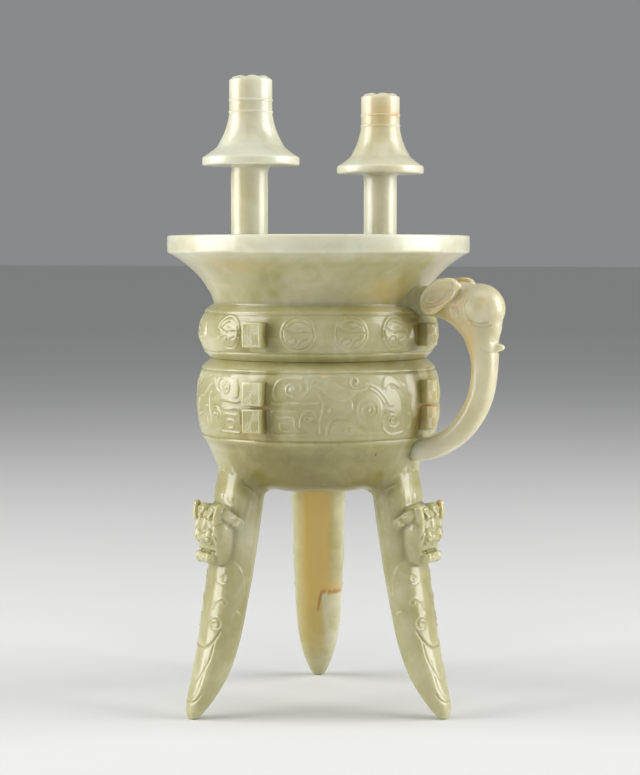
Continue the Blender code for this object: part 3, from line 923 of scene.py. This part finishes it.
# %% Lines on the shoulders, cut after the rubbing
shoulder_ridges = [
    leg_ridges[0][:7],
    [(29.6, 77.9), (28.9, 78.7), (27.8, 78.5), (26.9, 77.4)],
    [(23.6, 73.7), (22.4, 73.4), (21.2, 72.5), (20.3, 71.2)],
    [(31.8, 71.8), (30.4, 70.4), (28.6, 69.3), (27.0, 69.0)],
    [(21.5, 69.0), (21.8, 66.2), (22.5, 63.4)],
]
normals = points_of(base, "normal")
relief = np.zeros(len(points))
for turn in leg_turns:
    turned_points = leg_frame(points, turn)
    spots, weight = three_quarter(turned_points, leg_frame(normals, turn))
    lines = np.zeros(len(points))
    for line in shoulder_ridges:
        carve(lines, spots, line, *shoulder_ridge_form)
    relief += lines * weight * (turned_points[:, 0] > 0.6 * across)
press(base, relief, 1.0)
tell_relief("shoulders", relief)

# %% [markdown]
# ## The elephant handle
# The elephant's neck bridges from the cup to a domed head with bulging eyes and leaf-shaped ears,
# and its trunk runs down and back to the belly. A small tusk-like spur stands out in front. The
# neck and trunk are one path with a rounded square section, swept as a curve.

# %% Neck and trunk
trunk_path = [
    # reach, height, half thickness
    (31.6, 131.2, 4.6), (37.0, 131.3, 4.7), (43.0, 131.2, 4.9), (49.5, 129.8, 5.4), (54.0, 126.8, 5.6),
    (57.3, 122.4, 5.2), (58.5, 118.0, 4.8), (59.0, 114.5, 4.15), (59.0, 109.5, 3.85), (58.0, 103.0, 3.75),
    (55.7, 97.5, 3.7), (52.2, 92.5, 3.6), (47.6, 88.5, 3.5), (42.5, 85.9, 3.5), (37.0, 84.6, 3.5),
    (33.4, 84.5, 3.3),
]
trunk_squareness = 2.8
# the neck's breadth for its depth, at these reaches from the cup's axis and above this height
neck_reaches = (32.5, 34.5, 37.0, 44.0, 50.0)
neck_breadths = (1.5, 0.95, 0.72, 0.78, 1.0)
neck_from = 120.0


def trunk():
    """The neck and trunk: a rounded square swept along the path."""
    path = smooth_line(trunk_path, 8)
    section = bpy.data.curves.new("trunk section", "CURVE")
    outline = section.splines.new("POLY")
    around = np.linspace(0, math.tau, 33)[:-1]
    swell = rounded_square(around, trunk_squareness)
    outline.points.add(len(around) - 1)
    for point, angle, size in zip(outline.points, around, swell):
        point.co = (size * math.cos(angle), size * math.sin(angle), 0, 1)
    outline.use_cyclic_u = True
    section_item = bpy.data.objects.new("trunk section", section)
    bpy.context.collection.objects.link(section_item)
    curve = bpy.data.curves.new("trunk", "CURVE")
    curve.dimensions = "3D"
    curve.bevel_mode = "OBJECT"
    curve.bevel_object = section_item
    curve.use_fill_caps = True
    spline = curve.splines.new("POLY")
    spline.points.add(len(path) - 1)
    for point, (reach, height, half) in zip(spline.points, path):
        point.co = (reach * MM, 0, height * MM, 1)
        point.radius = half * MM
    item = bpy.data.objects.new("trunk", curve)
    bpy.context.collection.objects.link(item)
    pick(item)
    bpy.ops.object.convert(target="MESH")
    item = bpy.context.object
    bpy.ops.object.mode_set(mode="EDIT")
    finish_edit(0.01 * MM)
    bpy.data.objects.remove(section_item, do_unlink=True)
    points = points_of(item)
    breadth = np.interp(points[:, 0] / MM, neck_reaches, neck_breadths)
    points[:, 1] *= np.where(points[:, 2] > neck_from * MM, breadth, 1.0)
    move_points(item, points)
    return item


# %% Ears
ear_outline = [
    (44.9, 138.1), (46.9, 138.5), (49.4, 138.8), (51.4, 138.5), (52.8, 137.4), (53.1, 136.0),
    (52.4, 133.9), (50.9, 132.0), (49.0, 130.3), (46.4, 128.4), (44.0, 127.1), (41.8, 127.0),
    (40.2, 128.4), (39.6, 130.6), (39.9, 132.9), (41.0, 134.6), (43.0, 136.5),
]
ear_middle = (46.2, 133.2)
ear_inner = 4.6
ear_layer = 1.2
ear_taper = 0.97
ear_rim = 0.9
ear_slope = 0.6
ear_hollow = 0.8


def ear(side):
    """A leaf-shaped ear that is hollowed like a spoon, on the side of +Y or -Y."""
    let_go()
    bpy.ops.mesh.primitive_circle_add(vertices=len(ear_outline), radius=1, fill_type="NGON")
    item = bpy.context.object
    outline = np.array(ear_outline)
    points = np.stack([outline[:, 0], np.full(len(outline), side * ear_inner), outline[:, 1]], axis=1) * MM
    move_points(item, points)
    bpy.ops.object.mode_set(mode="EDIT")
    bpy.ops.mesh.select_all(action="SELECT")
    for _ in range(2):
        bpy.ops.mesh.extrude_region_move(TRANSFORM_OT_translate={"value": (0, side * ear_layer * MM, 0)})
    middle = (ear_middle[0] * MM, 0, ear_middle[1] * MM)
    bpy.ops.transform.resize(value=(ear_taper, 1, ear_taper), center_override=middle)
    bpy.ops.mesh.inset(thickness=ear_rim * MM)
    bpy.ops.mesh.inset(thickness=ear_slope * MM)
    bpy.ops.transform.translate(value=(0, -side * ear_hollow * MM, 0))
    finish_edit()
    smooth = item.modifiers.new("rounder", "SUBSURF")
    smooth.levels = smooth.render_levels = 2
    return apply_all(item)


# %% Head and handle
handle_balls = [
    # the dome, the trunk's root, the nape, the spur in three parts, the eyes and a knob before each ear
    ((57.2, 0, 129.0), (8.2, 7.2, 7.9), 0, 0),
    ((59.7, 0, 124.2), (4.9, 4.8, 6.5), 0, 0),
    ((51.5, 0, 131.2), (6.3, 5.8, 6.2), 0, 0),
    ((61.4, 0, 117.4), (3.0, 2.1, 2.4), 0, 0),
    ((62.9, 0, 117.2), (2.6, 1.4, 1.3), 0, 0),
    ((64.85, 0, 117.3), (1.35, 1.25, 1.2), 0, 0),
    ((58.4, 4.0, 129.0), (4.5, 3.3, 4.3), 0, 0),
    ((51.9, 5.3, 136.0), (1.6, 1.6, 1.4), 0, 0),
]
head_rounds = 50
handle = one_skin("handle_of_jade", [trunk()] + balls(handle_balls) + [ear(1), ear(-1)], 4)
points = points_of(handle) / MM
under_head = between(points[:, 2], 113, 128.5, 4, 3) * soft_step((points[:, 0] - 47) / 4)
rub_down(handle, under_head, head_rounds)
print("handle:", count_faces(handle), "triangles")

spots, weight = three_quarter(points_of(handle) / MM, points_of(handle, "normal"))
relief = np.zeros(len(spots))
handle_lines = [
    ([(41.9, 134.9), (41.1, 133.0), (39.6, 131.5), (37.8, 130.2), (35.6, 129.1), (33.5, 129.0)], 0.45, 0.5),
    ([(40.3, 134.6), (39.7, 133.1), (38.4, 131.8), (36.7, 130.8), (34.8, 130.2),
      (33.5, 130.3)], 0.45, 0.48),
    ([(38.8, 134.6), (38.3, 133.4), (37.1, 132.3), (35.4, 131.4), (34.1, 131.5), (33.8, 132.4),
      (34.5, 133.7)], 0.5, 0.45),
    ([(45.8, 132.6), (44.7, 131.0), (44.5, 129.0), (45.2, 127.0), (46.6, 125.5)], 0.35, -0.3),
    ([(44.9, 133.1), (43.7, 131.1), (43.5, 129.0), (44.1, 127.0)], 0.35, -0.3),
    ([(45.8, 125.8), (47.3, 125.0), (49.5, 124.7), (51.6, 125.0)], 0.4, -0.36),
    ([(46.7, 124.6), (48.4, 123.9), (50.6, 123.7), (52.3, 124.2)], 0.4, -0.28),
    ([(41.2, 129.4), (42.1, 129.3), (42.0, 128.2), (42.9, 128.3)], 0.3, -0.25),
    ([(42.2, 127.3), (43.0, 127.2), (42.8, 126.3)], 0.3, -0.25),
    ([(41.2, 129.4), (41.5, 127.3), (41.9, 125.8)], 0.3, -0.18),
    ([(49.5, 116.9), (51.3, 115.9), (53.4, 115.6), (55.4, 115.6)], 0.4, -0.2),
    ([(52.6, 119.1), (54.2, 118.9), (55.9, 118.7)], 0.4, -0.2),
]
for line, width, depth in handle_lines:
    carve(relief, spots, line, width, depth, line_edge)
press(handle, relief, weight)
tell_relief("handle", relief)

# %% [markdown]
# ## Stains, and painted light and shade
# The stone is olive where it is thick, and russet where iron has crept in: along the trunk's inner
# side, on the ears, a cap, the lip and the rear leg, whose crack still shows. Over that, light and
# shade are painted in: convex edges paler as painted highlight, hollows, the belly's underside, the
# groove between the bands and strips beside the blocks darker as painted shade, and the lip, the
# posts and the handle's neck paler as painted light. Each point of a piece is given four amounts,
# how milky (with that painted light and shade), russet, honey-coloured and dark it is, worked out
# from its height, its place and how sharply the surface bends there.

# %% Where the stone is milky, honey-coloured, russet and dark
milk_light_and_shade_by_height = [
    # height in mm, and how milky the stone is there; the dips under the belly and in the groove between the
    # bands are partly painted shade, and the high values on the lip and posts partly painted light
    (0, 0.48), (10, 0.42), (40, 0.4), (60, 0.44), (68, 0.32), (74, 0.0), (82, 0.08), (90, 0.38), (100, 0.4),
    (108, 0.5), (112.7, 0.24), (117, 0.42), (124, 0.46), (129, 0.4), (136, 0.45), (143, 0.5), (146, 0.82),
    (152, 0.98), (153, 0.95), (171, 0.95), (174, 0.95), (180, 0.88), (200, 1.0),
]
rear_turn = 120
# how much milkier the stone is above each leg, and how much darker the band is painted beside a block, as
# painted shade
above_legs = 0.22
block_shade_amount = 0.3
# how strongly a convex edge is painted paler, as painted highlight, and a hollow darker, as painted shade,
# with the least and the most that it does
edge_light_and_shade_gain = 1.5
edge_light_and_shade_range = (-0.12, 0.16)
# the handle's milkiness, raised partly as painted light on its neck, which lies in shade beside the cup, what
# its outer end has more of it, and its russet strip
handle_milk_and_light = 0.6
handle_end_milk = 0.26
strip_russet = 0.5


def at(turn, reach, height):
    """A place from its turn in degrees, its reach and its height in mm."""
    return (reach * math.cos(math.radians(turn)), reach * math.sin(math.radians(turn)), height)


honey_spots = [
    # middle, how far it spreads each way in mm, amount
    (at(0, 40.0, 121.0), (5.0, 9.0, 7.0), 0.15),
    (at(0, 40.5, 99.0), (5.0, 9.0, 10.0), 0.2),
    (at(-25, 38.0, 134.0), (9.0, 9.0, 5.0), 0.4),
    (at(-95, 40.0, 142.5), (9.0, 9.0, 2.5), 0.4),
    ((2.0, 36.0, 162.0), (6.0, 4.0, 9.0), 0.12),
    ((0.0, -47.0, 162.0), (3.5, 4.0, 10.0), 0.3),
    ((1.0, -48.0, 190.0), (3.5, 4.0, 12.0), 0.22),
    ((2.0, 36.0, 190.0), (6.0, 6.0, 9.0), 0.4),
    ((56.0, -5.0, 124.0), (5.0, 5.0, 5.0), 0.5),
    ((52.0, -5.0, 131.0), (5.0, 5.0, 5.0), 0.45),
]
russet_spots = [
    (at(0, 44.5, 145.5), (5.0, 4.0, 2.6), 0.55),
    (at(-109, 48.0, 149.0), (5.0, 4.0, 3.0), 0.22),
    (at(-105, 45.5, 144.0), (6.0, 5.0, 2.0), 0.25),
    ((3.0, 38.0, 194.0), (5.0, 5.0, 4.5), 0.45),
    ((7.0, 40.0, 192.7), (3.0, 4.0, 1.0), 0.7),
    ((8.0, 33.0, 174.5), (7.0, 7.0, 2.0), 0.25),
    ((39.0, 8.0, 66.0), (3.2, 2.4, 3.6), 0.6),
    ((46.5, 6.5, 136.0), (7.5, 3.5, 5.0), 0.5),
    ((47.0, -6.5, 131.0), (7.0, 3.0, 4.0), 0.2),
    ((60.5, -4.0, 131.5), (1.6, 3.0, 1.6), 0.45),
    ((56.5, -4.5, 119.5), (1.5, 3.0, 5.0), 0.45),
    (at(0, 39.5, 99.0), (2.5, 3.6, 1.2), 0.9),
    (at(-86.5, 39.5, 99.0), (2.0, 2.0, 0.6), 0.8),
    (at(0, 40.5, 97.0), (3.0, 5.0, 11.0), 0.15),
    (at(-57, 37.6, 109.2), (1.2, 1.2, 0.5), 0.5),
    (at(-95, 37.0, 90.0), (5.0, 5.0, 2.5), 0.2),
]
# heights at which two pieces meet, where no edge is painted paler or darker
seams = (83.3, 112.8, 130.8)
# the middle and the size of each dark speck, then the rear leg's crack as its place across and its height
dark_specks = [(at(-43.5, 35.2, 85.4), 0.4), (at(-30, 35.2, 84.2), 0.35), (at(-100, 33.5, 74.0), 0.3)]
crack_height = 31.4
crack = np.array([
    (-7.2, 31.8), (-4.6, 31.4), (-2.8, 31.7), (-0.9, 31.2), (-0.5, 29.4), (-0.2, 27.4), (0.2, 25.6),
])


# %% Edges and the trunk's inner side
def bending(item, points):
    """How far each point stands out of its neighbours' middle, for the edge length: above 0 on an edge."""
    edges = np.empty(len(item.data.edges) * 2, int)
    item.data.edges.foreach_get("vertices", edges)
    first, second = np.concatenate([edges.reshape(-1, 2), edges.reshape(-1, 2)[:, ::-1]]).T
    count = np.maximum(np.bincount(first, minlength=len(points)), 1)

    def mean_of(values):
        return np.bincount(first, values, minlength=len(points)) / count

    away = points - np.stack([mean_of(column) for column in points[second].T], axis=1)
    length = mean_of(np.linalg.norm(points[first] - points[second], axis=1))
    bend = np.sum(away * points_of(item, "normal"), axis=1) / np.maximum(length, 1e-6)
    for _ in range(8):
        bend = 0.4 * bend + 0.6 * mean_of(bend[second])
    return bend


def inner_side(points):
    """How far across the trunk points lie: 1 at its inner curve, -1 at the outer one."""
    path = smooth_line(trunk_path, 8)
    spots = points[:, [0, 2]]
    nearest = np.linalg.norm(spots[:, None] - path[None, :, :2], axis=2).argmin(axis=1)
    along = np.gradient(path[:, :2], axis=0)
    along /= np.linalg.norm(along, axis=1)[:, None]
    away = spots - path[nearest, :2]
    return (away[:, 0] * along[nearest, 1] - away[:, 1] * along[nearest, 0]) / path[nearest, 2]


# %% Tints of the handle and of the rear leg
def near_spots(points, spots):
    """How strongly the strongest of the spots tints each point."""
    amounts = np.zeros(len(points))
    for middle, spread, amount in spots:
        gap = np.sum(((points - middle) / spread) ** 2, axis=1)
        amounts = np.maximum(amounts, amount * np.exp(-gap))
    return amounts


def handle_tints(points, milk_and_painted_light):
    """The handle is paler than the cup, partly as painted light on its shaded neck, honey-coloured, and
    russet in a strip along its inner curve.
    """
    height = points[:, 2]
    outward = soft_step((points[:, 0] - 36.0) / 9.0)
    off_cup = soft_step((points[:, 0] - 33.8) / 4.0)
    inner = inner_side(points)
    # the handle's neck, in shade beside the cup, is painted paler as painted light, over the handle's own
    # paler stone
    milk_and_painted_light = (1 - off_cup) * milk_and_painted_light + off_cup * (handle_milk_and_light + handle_end_milk * outward)
    honey = outward * (0.22 + 0.3 * soft_step((inner + 0.5) / 1.2) * soft_step((height - 112) / 8))
    russet = strip_russet * soft_step((inner - 0.25) / 0.6) * between(height, 94, 123, 8, 8)
    return milk_and_painted_light, russet, honey


def rear_leg_tints(points, milk_and_painted_light, russet, honey, dark):
    """The rear leg's inner face is honey in the middle, russet above its crack and paler beside it below."""
    out, aside, height = leg_frame(points, rear_turn).T
    rear = (out > 15) & (np.abs(aside) < 12) & (height < 72)
    inward = soft_step((36 - out + (45 - height) * 0.12) / 6)
    pale_side = soft_step((-0.2 - aside) / (1.0 + 0.15 * (crack_height - height).clip(0)))
    pale_side *= soft_step((crack_height + 0.2 - height) / 0.8)
    yellow = soft_step((7.4 - np.abs(aside - 0.8)) / 5) * inward
    yellow *= (0.5 + 0.36 * soft_step((height - 8) / 30)) * (1 - 0.85 * pale_side)
    near_crack = distance_to(crack, np.stack([aside, height], axis=1)) + np.where(out < 36, 0, 9)
    above = soft_step((7.0 - near_crack) / 6.0) * (height > crack_height - 0.4) * soft_step((1.5 - aside) / 3)
    on_crack = soft_step((0.75 - near_crack) / 0.4)
    return (
        np.where(rear, milk_and_painted_light + 0.3 * pale_side * inward, milk_and_painted_light),
        np.where(rear, np.maximum(russet, 0.4 * above + on_crack), russet),
        np.where(rear, np.maximum(honey, yellow), honey),
        np.where(rear, np.maximum(dark, 0.22 * on_crack), dark),
    )


# %% Staining the pieces
def stain(item):
    """Works out the four amounts at each point, and keeps them as the piece's colour layer."""
    points = points_of(item) / MM
    height = points[:, 2]
    across = from_axis(points)
    around = np.degrees(np.arctan2(points[:, 1], points[:, 0]))
    # tone by height, partly painted: shade under the belly and in the groove between the bands, light on the
    # lip and posts
    milk_and_painted_light = np.interp(height, *np.array(milk_light_and_shade_by_height).T)
    russet, honey, dark = np.zeros((3, len(points)))
    if item == handle:
        milk_and_painted_light, russet, honey = handle_tints(points, milk_and_painted_light)
    for turn in leg_turns:
        away = np.abs((around - turn + 180) % 360 - 180)
        milk_and_painted_light += above_legs * soft_step((26 - away) / 18) * between(height, 66, 86.5, 6, 2)
    away = fold(points)
    # painted shade: the band is painted darker in strips beside each block
    block_shade_zone = between(away, 3, 15, 3, 7) + between(away, 75, 87, 7, 3)
    in_bands = between(height, 88, 127, 2, 2) * (across > 37) * (across < 42)
    milk_and_painted_light -= block_shade_amount * block_shade_zone * in_bands
    at_seam = np.max([soft_step((1.6 - np.abs(height - seam)) / 0.8) for seam in seams], axis=0)
    # painted highlight on convex edges and painted shade in hollows and creases, except at the seams
    milk_and_painted_light += np.clip(bending(item, points) * edge_light_and_shade_gain, *edge_light_and_shade_range) * (1 - at_seam)
    honey = np.maximum(honey, near_spots(points, honey_spots))
    russet = np.maximum(russet, near_spots(points, russet_spots))
    for middle, size in dark_specks:
        dark = np.maximum(dark, soft_step(1.5 - np.linalg.norm(points - middle, axis=1) / size))
    milk_and_painted_light, russet, honey, dark = rear_leg_tints(points, milk_and_painted_light, russet, honey, dark)
    layer = item.data.color_attributes.new("stone", "FLOAT_COLOR", "POINT")
    colour = np.stack([milk_and_painted_light, russet, honey, 1 - dark], axis=1)
    layer.data.foreach_set("color", np.clip(colour, 0, 1).ravel())
    print(item.name, "milk_and_painted_light", round(milk_and_painted_light.mean(), 2), "russet", round(russet.mean(), 2))


pieces = [core, upper_ring, lower_ring, handle, base]
for item in pieces:
    stain(item)

# %% [markdown]
# ## Jade
# Nephrite is not painted: its colour comes from light that has travelled inside it. So the material
# scatters light under its surface and has a soft waxy polish over it. Its colour runs from olive to
# a milky celadon by the amounts above, broken up by soft clouds and fine pale flecks.

# %% Stone
stone_colours = [
    # how milky, with painted light and shade, and the colour
    (0.0, (0.225, 0.188, 0.04)), (0.3, (0.375, 0.34, 0.135)),
    (0.6, (0.53, 0.51, 0.30)), (1.0, (0.73, 0.72, 0.57)),
]
rust_colours = [(0.0, (0.74, 0.54, 0.24)), (0.45, (0.68, 0.42, 0.12)), (1.0, (0.50, 0.27, 0.05))]
fleck_colour = (0.80, 0.80, 0.66)
honey_colour = (0.63, 0.44, 0.09)
speck_colour = (0.05, 0.035, 0.02)
jade = bpy.data.materials.new("celadon_jade")
jade.use_nodes = True
tree = jade.node_tree
link = tree.links.new
stone = tree.nodes["Principled BSDF"]
for socket, value in (
    ("IOR", 1.55),
    ("Coat Weight", 0.6),
    ("Coat Roughness", 0.08),
    ("Subsurface Weight", 0.6),
    ("Subsurface Radius", (1.0, 0.95, 0.55)),
    ("Subsurface Scale", 0.004),
):
    stone.inputs[socket].default_value = value


# %% Its nodes
def node(kind, place, **values):
    """A node of a kind at its place in the editor, with its settings."""
    item = tree.nodes.new(kind)
    item.location = place
    for key, value in values.items():
        setattr(item, key, value)
    return item


place = node("ShaderNodeTexCoord", (-1800, 0))


def noise(scale, detail, distortion, where):
    """A cloudy pattern that is fixed to the stone."""
    item = node("ShaderNodeTexNoise", where)
    item.inputs["Scale"].default_value = scale
    item.inputs["Detail"].default_value = detail
    item.inputs["Distortion"].default_value = distortion
    link(place.outputs["Object"], item.inputs["Vector"])
    return item.outputs["Fac"]


def ramp(source, stops, where):
    """Turns an amount into a colour by stops of position and colour."""
    item = node("ShaderNodeValToRGB", where)
    while len(item.color_ramp.elements) < len(stops):
        item.color_ramp.elements.new(0.5)
    for element, (position, colour) in zip(item.color_ramp.elements, stops):
        element.position = position
        element.color = (*colour, 1)
    link(source, item.inputs["Fac"])
    return item.outputs["Color"]


def blend(amount, below, above, where):
    """Lays one colour over another by an amount. The node's colours are sockets 6 and 7, and 2 comes out."""
    item = node("ShaderNodeMix", where, data_type="RGBA")
    link(amount, item.inputs["Factor"])
    link(below, item.inputs[6])
    if isinstance(above, tuple):
        item.inputs[7].default_value = (*above, 1)
    else:
        link(above, item.inputs[7])
    return item.outputs[2]


def reckon(kind, a, b, where, c=None):
    """One sum, whose terms are numbers or sockets."""
    item = node("ShaderNodeMath", where, operation=kind)
    for socket, value in zip(item.inputs, (a, b, c)):
        if isinstance(value, (int, float)):
            socket.default_value = value
        elif value is not None:
            link(value, socket)
    return item.outputs[0]


# %% Clouds, stains and polish
amounts = node("ShaderNodeAttribute", (-1800, -300), attribute_name="stone")
apart = node("ShaderNodeSeparateColor", (-1600, -300))
link(amounts.outputs["Color"], apart.inputs["Color"])
clouds = noise(34.0, 4.0, 0.7, (-1600, 300))
wisps = noise(120.0, 5.0, 1.6, (-1600, 60))
flecks = noise(520.0, 3.0, 0.3, (-1600, -120))
cloudy = reckon("MULTIPLY_ADD", clouds, 0.9, (-1380, 300), -0.45)
wispy = reckon("MULTIPLY_ADD", wisps, 0.36, (-1380, 100), -0.18)
# the milky amount carries painted light and shade as well as the stone's own tone
milk_and_light_sum = reckon("ADD", reckon("ADD", apart.outputs["Red"], cloudy, (-1180, 300)), wispy, (-1000, 300))
clouded = ramp(milk_and_light_sum, stone_colours, (-800, 300))
fleck_amount = ramp(flecks, [(0.58, (0, 0, 0)), (0.85, (0.09, 0.09, 0.09))], (-1380, -120))
flecked = blend(fleck_amount, clouded, fleck_colour, (-480, 200))
patchy = reckon("MULTIPLY_ADD", wisps, 1.1, (-1180, -60), 0.45)
rusty = reckon("MULTIPLY", apart.outputs["Green"], patchy, (-1000, -60))
uneven = reckon("MULTIPLY_ADD", clouds, 0.6, (-1180, 120), 0.7)
golden = reckon("MULTIPLY", apart.outputs["Blue"], uneven, (-1000, 60))
honeyed = blend(golden, flecked, honey_colour, (-380, 300))
rust = ramp(rusty, rust_colours, (-800, -60))
stained = blend(reckon("MINIMUM", rusty, 0.92, (-800, -260)), honeyed, rust, (-280, 100))
darkness = reckon("SUBTRACT", 1.0, amounts.outputs["Alpha"], (-480, -60))
link(blend(darkness, stained, speck_colour, (-100, 100)), stone.inputs["Base Color"])
polish = ramp(wisps, [(0.3, (0.28, 0.28, 0.28)), (0.7, (0.40, 0.40, 0.40))], (-480, -200))
link(polish, stone.inputs["Roughness"])
grain = node("ShaderNodeBump", (-200, -300))
grain.inputs["Strength"].default_value = 0.06
grain.inputs["Distance"].default_value = 0.0002
link(flecks, grain.inputs["Height"])
link(grain.outputs["Normal"], stone.inputs["Normal"])
print("nodes in the jade:", len(tree.nodes))

# %% Dressing the pieces
sharp_angle = math.radians(50)
for item in pieces:
    pick(item)
    bpy.ops.object.shade_smooth_by_angle(angle=sharp_angle)
    item.location = (axis_x, 0, 0)
    bpy.ops.object.transform_apply(location=True)
    item.data.materials.clear()
    item.data.materials.append(jade)
    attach(item, "root")
    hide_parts("jia_vessel")
print("pieces:", [(item.name, count_faces(item)) for item in pieces])

# %% [markdown]
# ## Light and camera
# The photograph's highlights come from two large soft lights at the sides, which draw a bright edge
# along every form and leave its middle in half shade. The floor and the air are plain and pale.

# %% Studio
let_go()
bpy.ops.mesh.primitive_plane_add(size=60, location=(0, 0, 0))
floor = bpy.context.object
floor.name = "floor"
floor_paint = bpy.data.materials.new("pale_floor")
floor_paint.use_nodes = True
floor_shader = floor_paint.node_tree.nodes["Principled BSDF"]
floor_shader.inputs["Base Color"].default_value = (0.80, 0.80, 0.79, 1)
floor_shader.inputs["Roughness"].default_value = 0.9
floor.data.materials.append(floor_paint)

photo_azimuth = math.radians(30)


def soft_light(name, side, ahead, up, size, tall, power):
    """A big soft panel, placed as seen from the camera: to its right, towards it and up, in metres."""
    right = Vector((math.cos(photo_azimuth), math.sin(photo_azimuth), 0))
    toward = Vector((math.sin(photo_azimuth), -math.cos(photo_azimuth), 0))
    lamp = bpy.data.lights.new(name, "AREA")
    lamp.shape = "RECTANGLE"
    lamp.size = size
    lamp.size_y = tall
    lamp.energy = power
    item = bpy.data.objects.new(name, lamp)
    bpy.context.scene.collection.objects.link(item)
    item.location = right * side + toward * ahead + Vector((0, 0, up))
    item.rotation_euler = (Vector((0, 0, 0.1)) - item.location).to_track_quat("-Z", "Y").to_euler()


for name, side in (("left panel", -0.95), ("right panel", 0.95)):
    soft_light(name, side, 0.12, 0.30, 0.7, 1.2, 13.4)
soft_light("top panel", 0.0, 0.30, 1.0, 0.9, 0.6, 2.5)
air = bpy.data.worlds.new("pale air")
bpy.context.scene.world = air
air.use_nodes = True
sky = air.node_tree.nodes["Background"]
sky.inputs["Color"].default_value = (0.78, 0.79, 0.80, 1)
sky.inputs["Strength"].default_value = 0.32

# %% Camera
focal_pixels = 2021
photo_tall = 775
axis_shift = 1.5  # pixels from the picture's middle to the cup's axis
sensor = 36
distance = 0.6507
camera_height = 0.1447
pitch = math.radians(3.67)
lens = bpy.data.cameras.new("camera")
lens.sensor_width = sensor
lens.lens = focal_pixels / photo_tall * sensor
camera = bpy.data.objects.new("camera", lens)
bpy.context.scene.collection.objects.link(camera)
camera.location = (
    axis_x + distance * math.sin(photo_azimuth),
    -distance * math.cos(photo_azimuth),
    camera_height,
)
camera.rotation_euler = (math.pi / 2 - pitch, 0, photo_azimuth - axis_shift / focal_pixels)
bpy.context.scene.camera = camera
bpy.context.scene.view_settings.view_transform = "Standard"
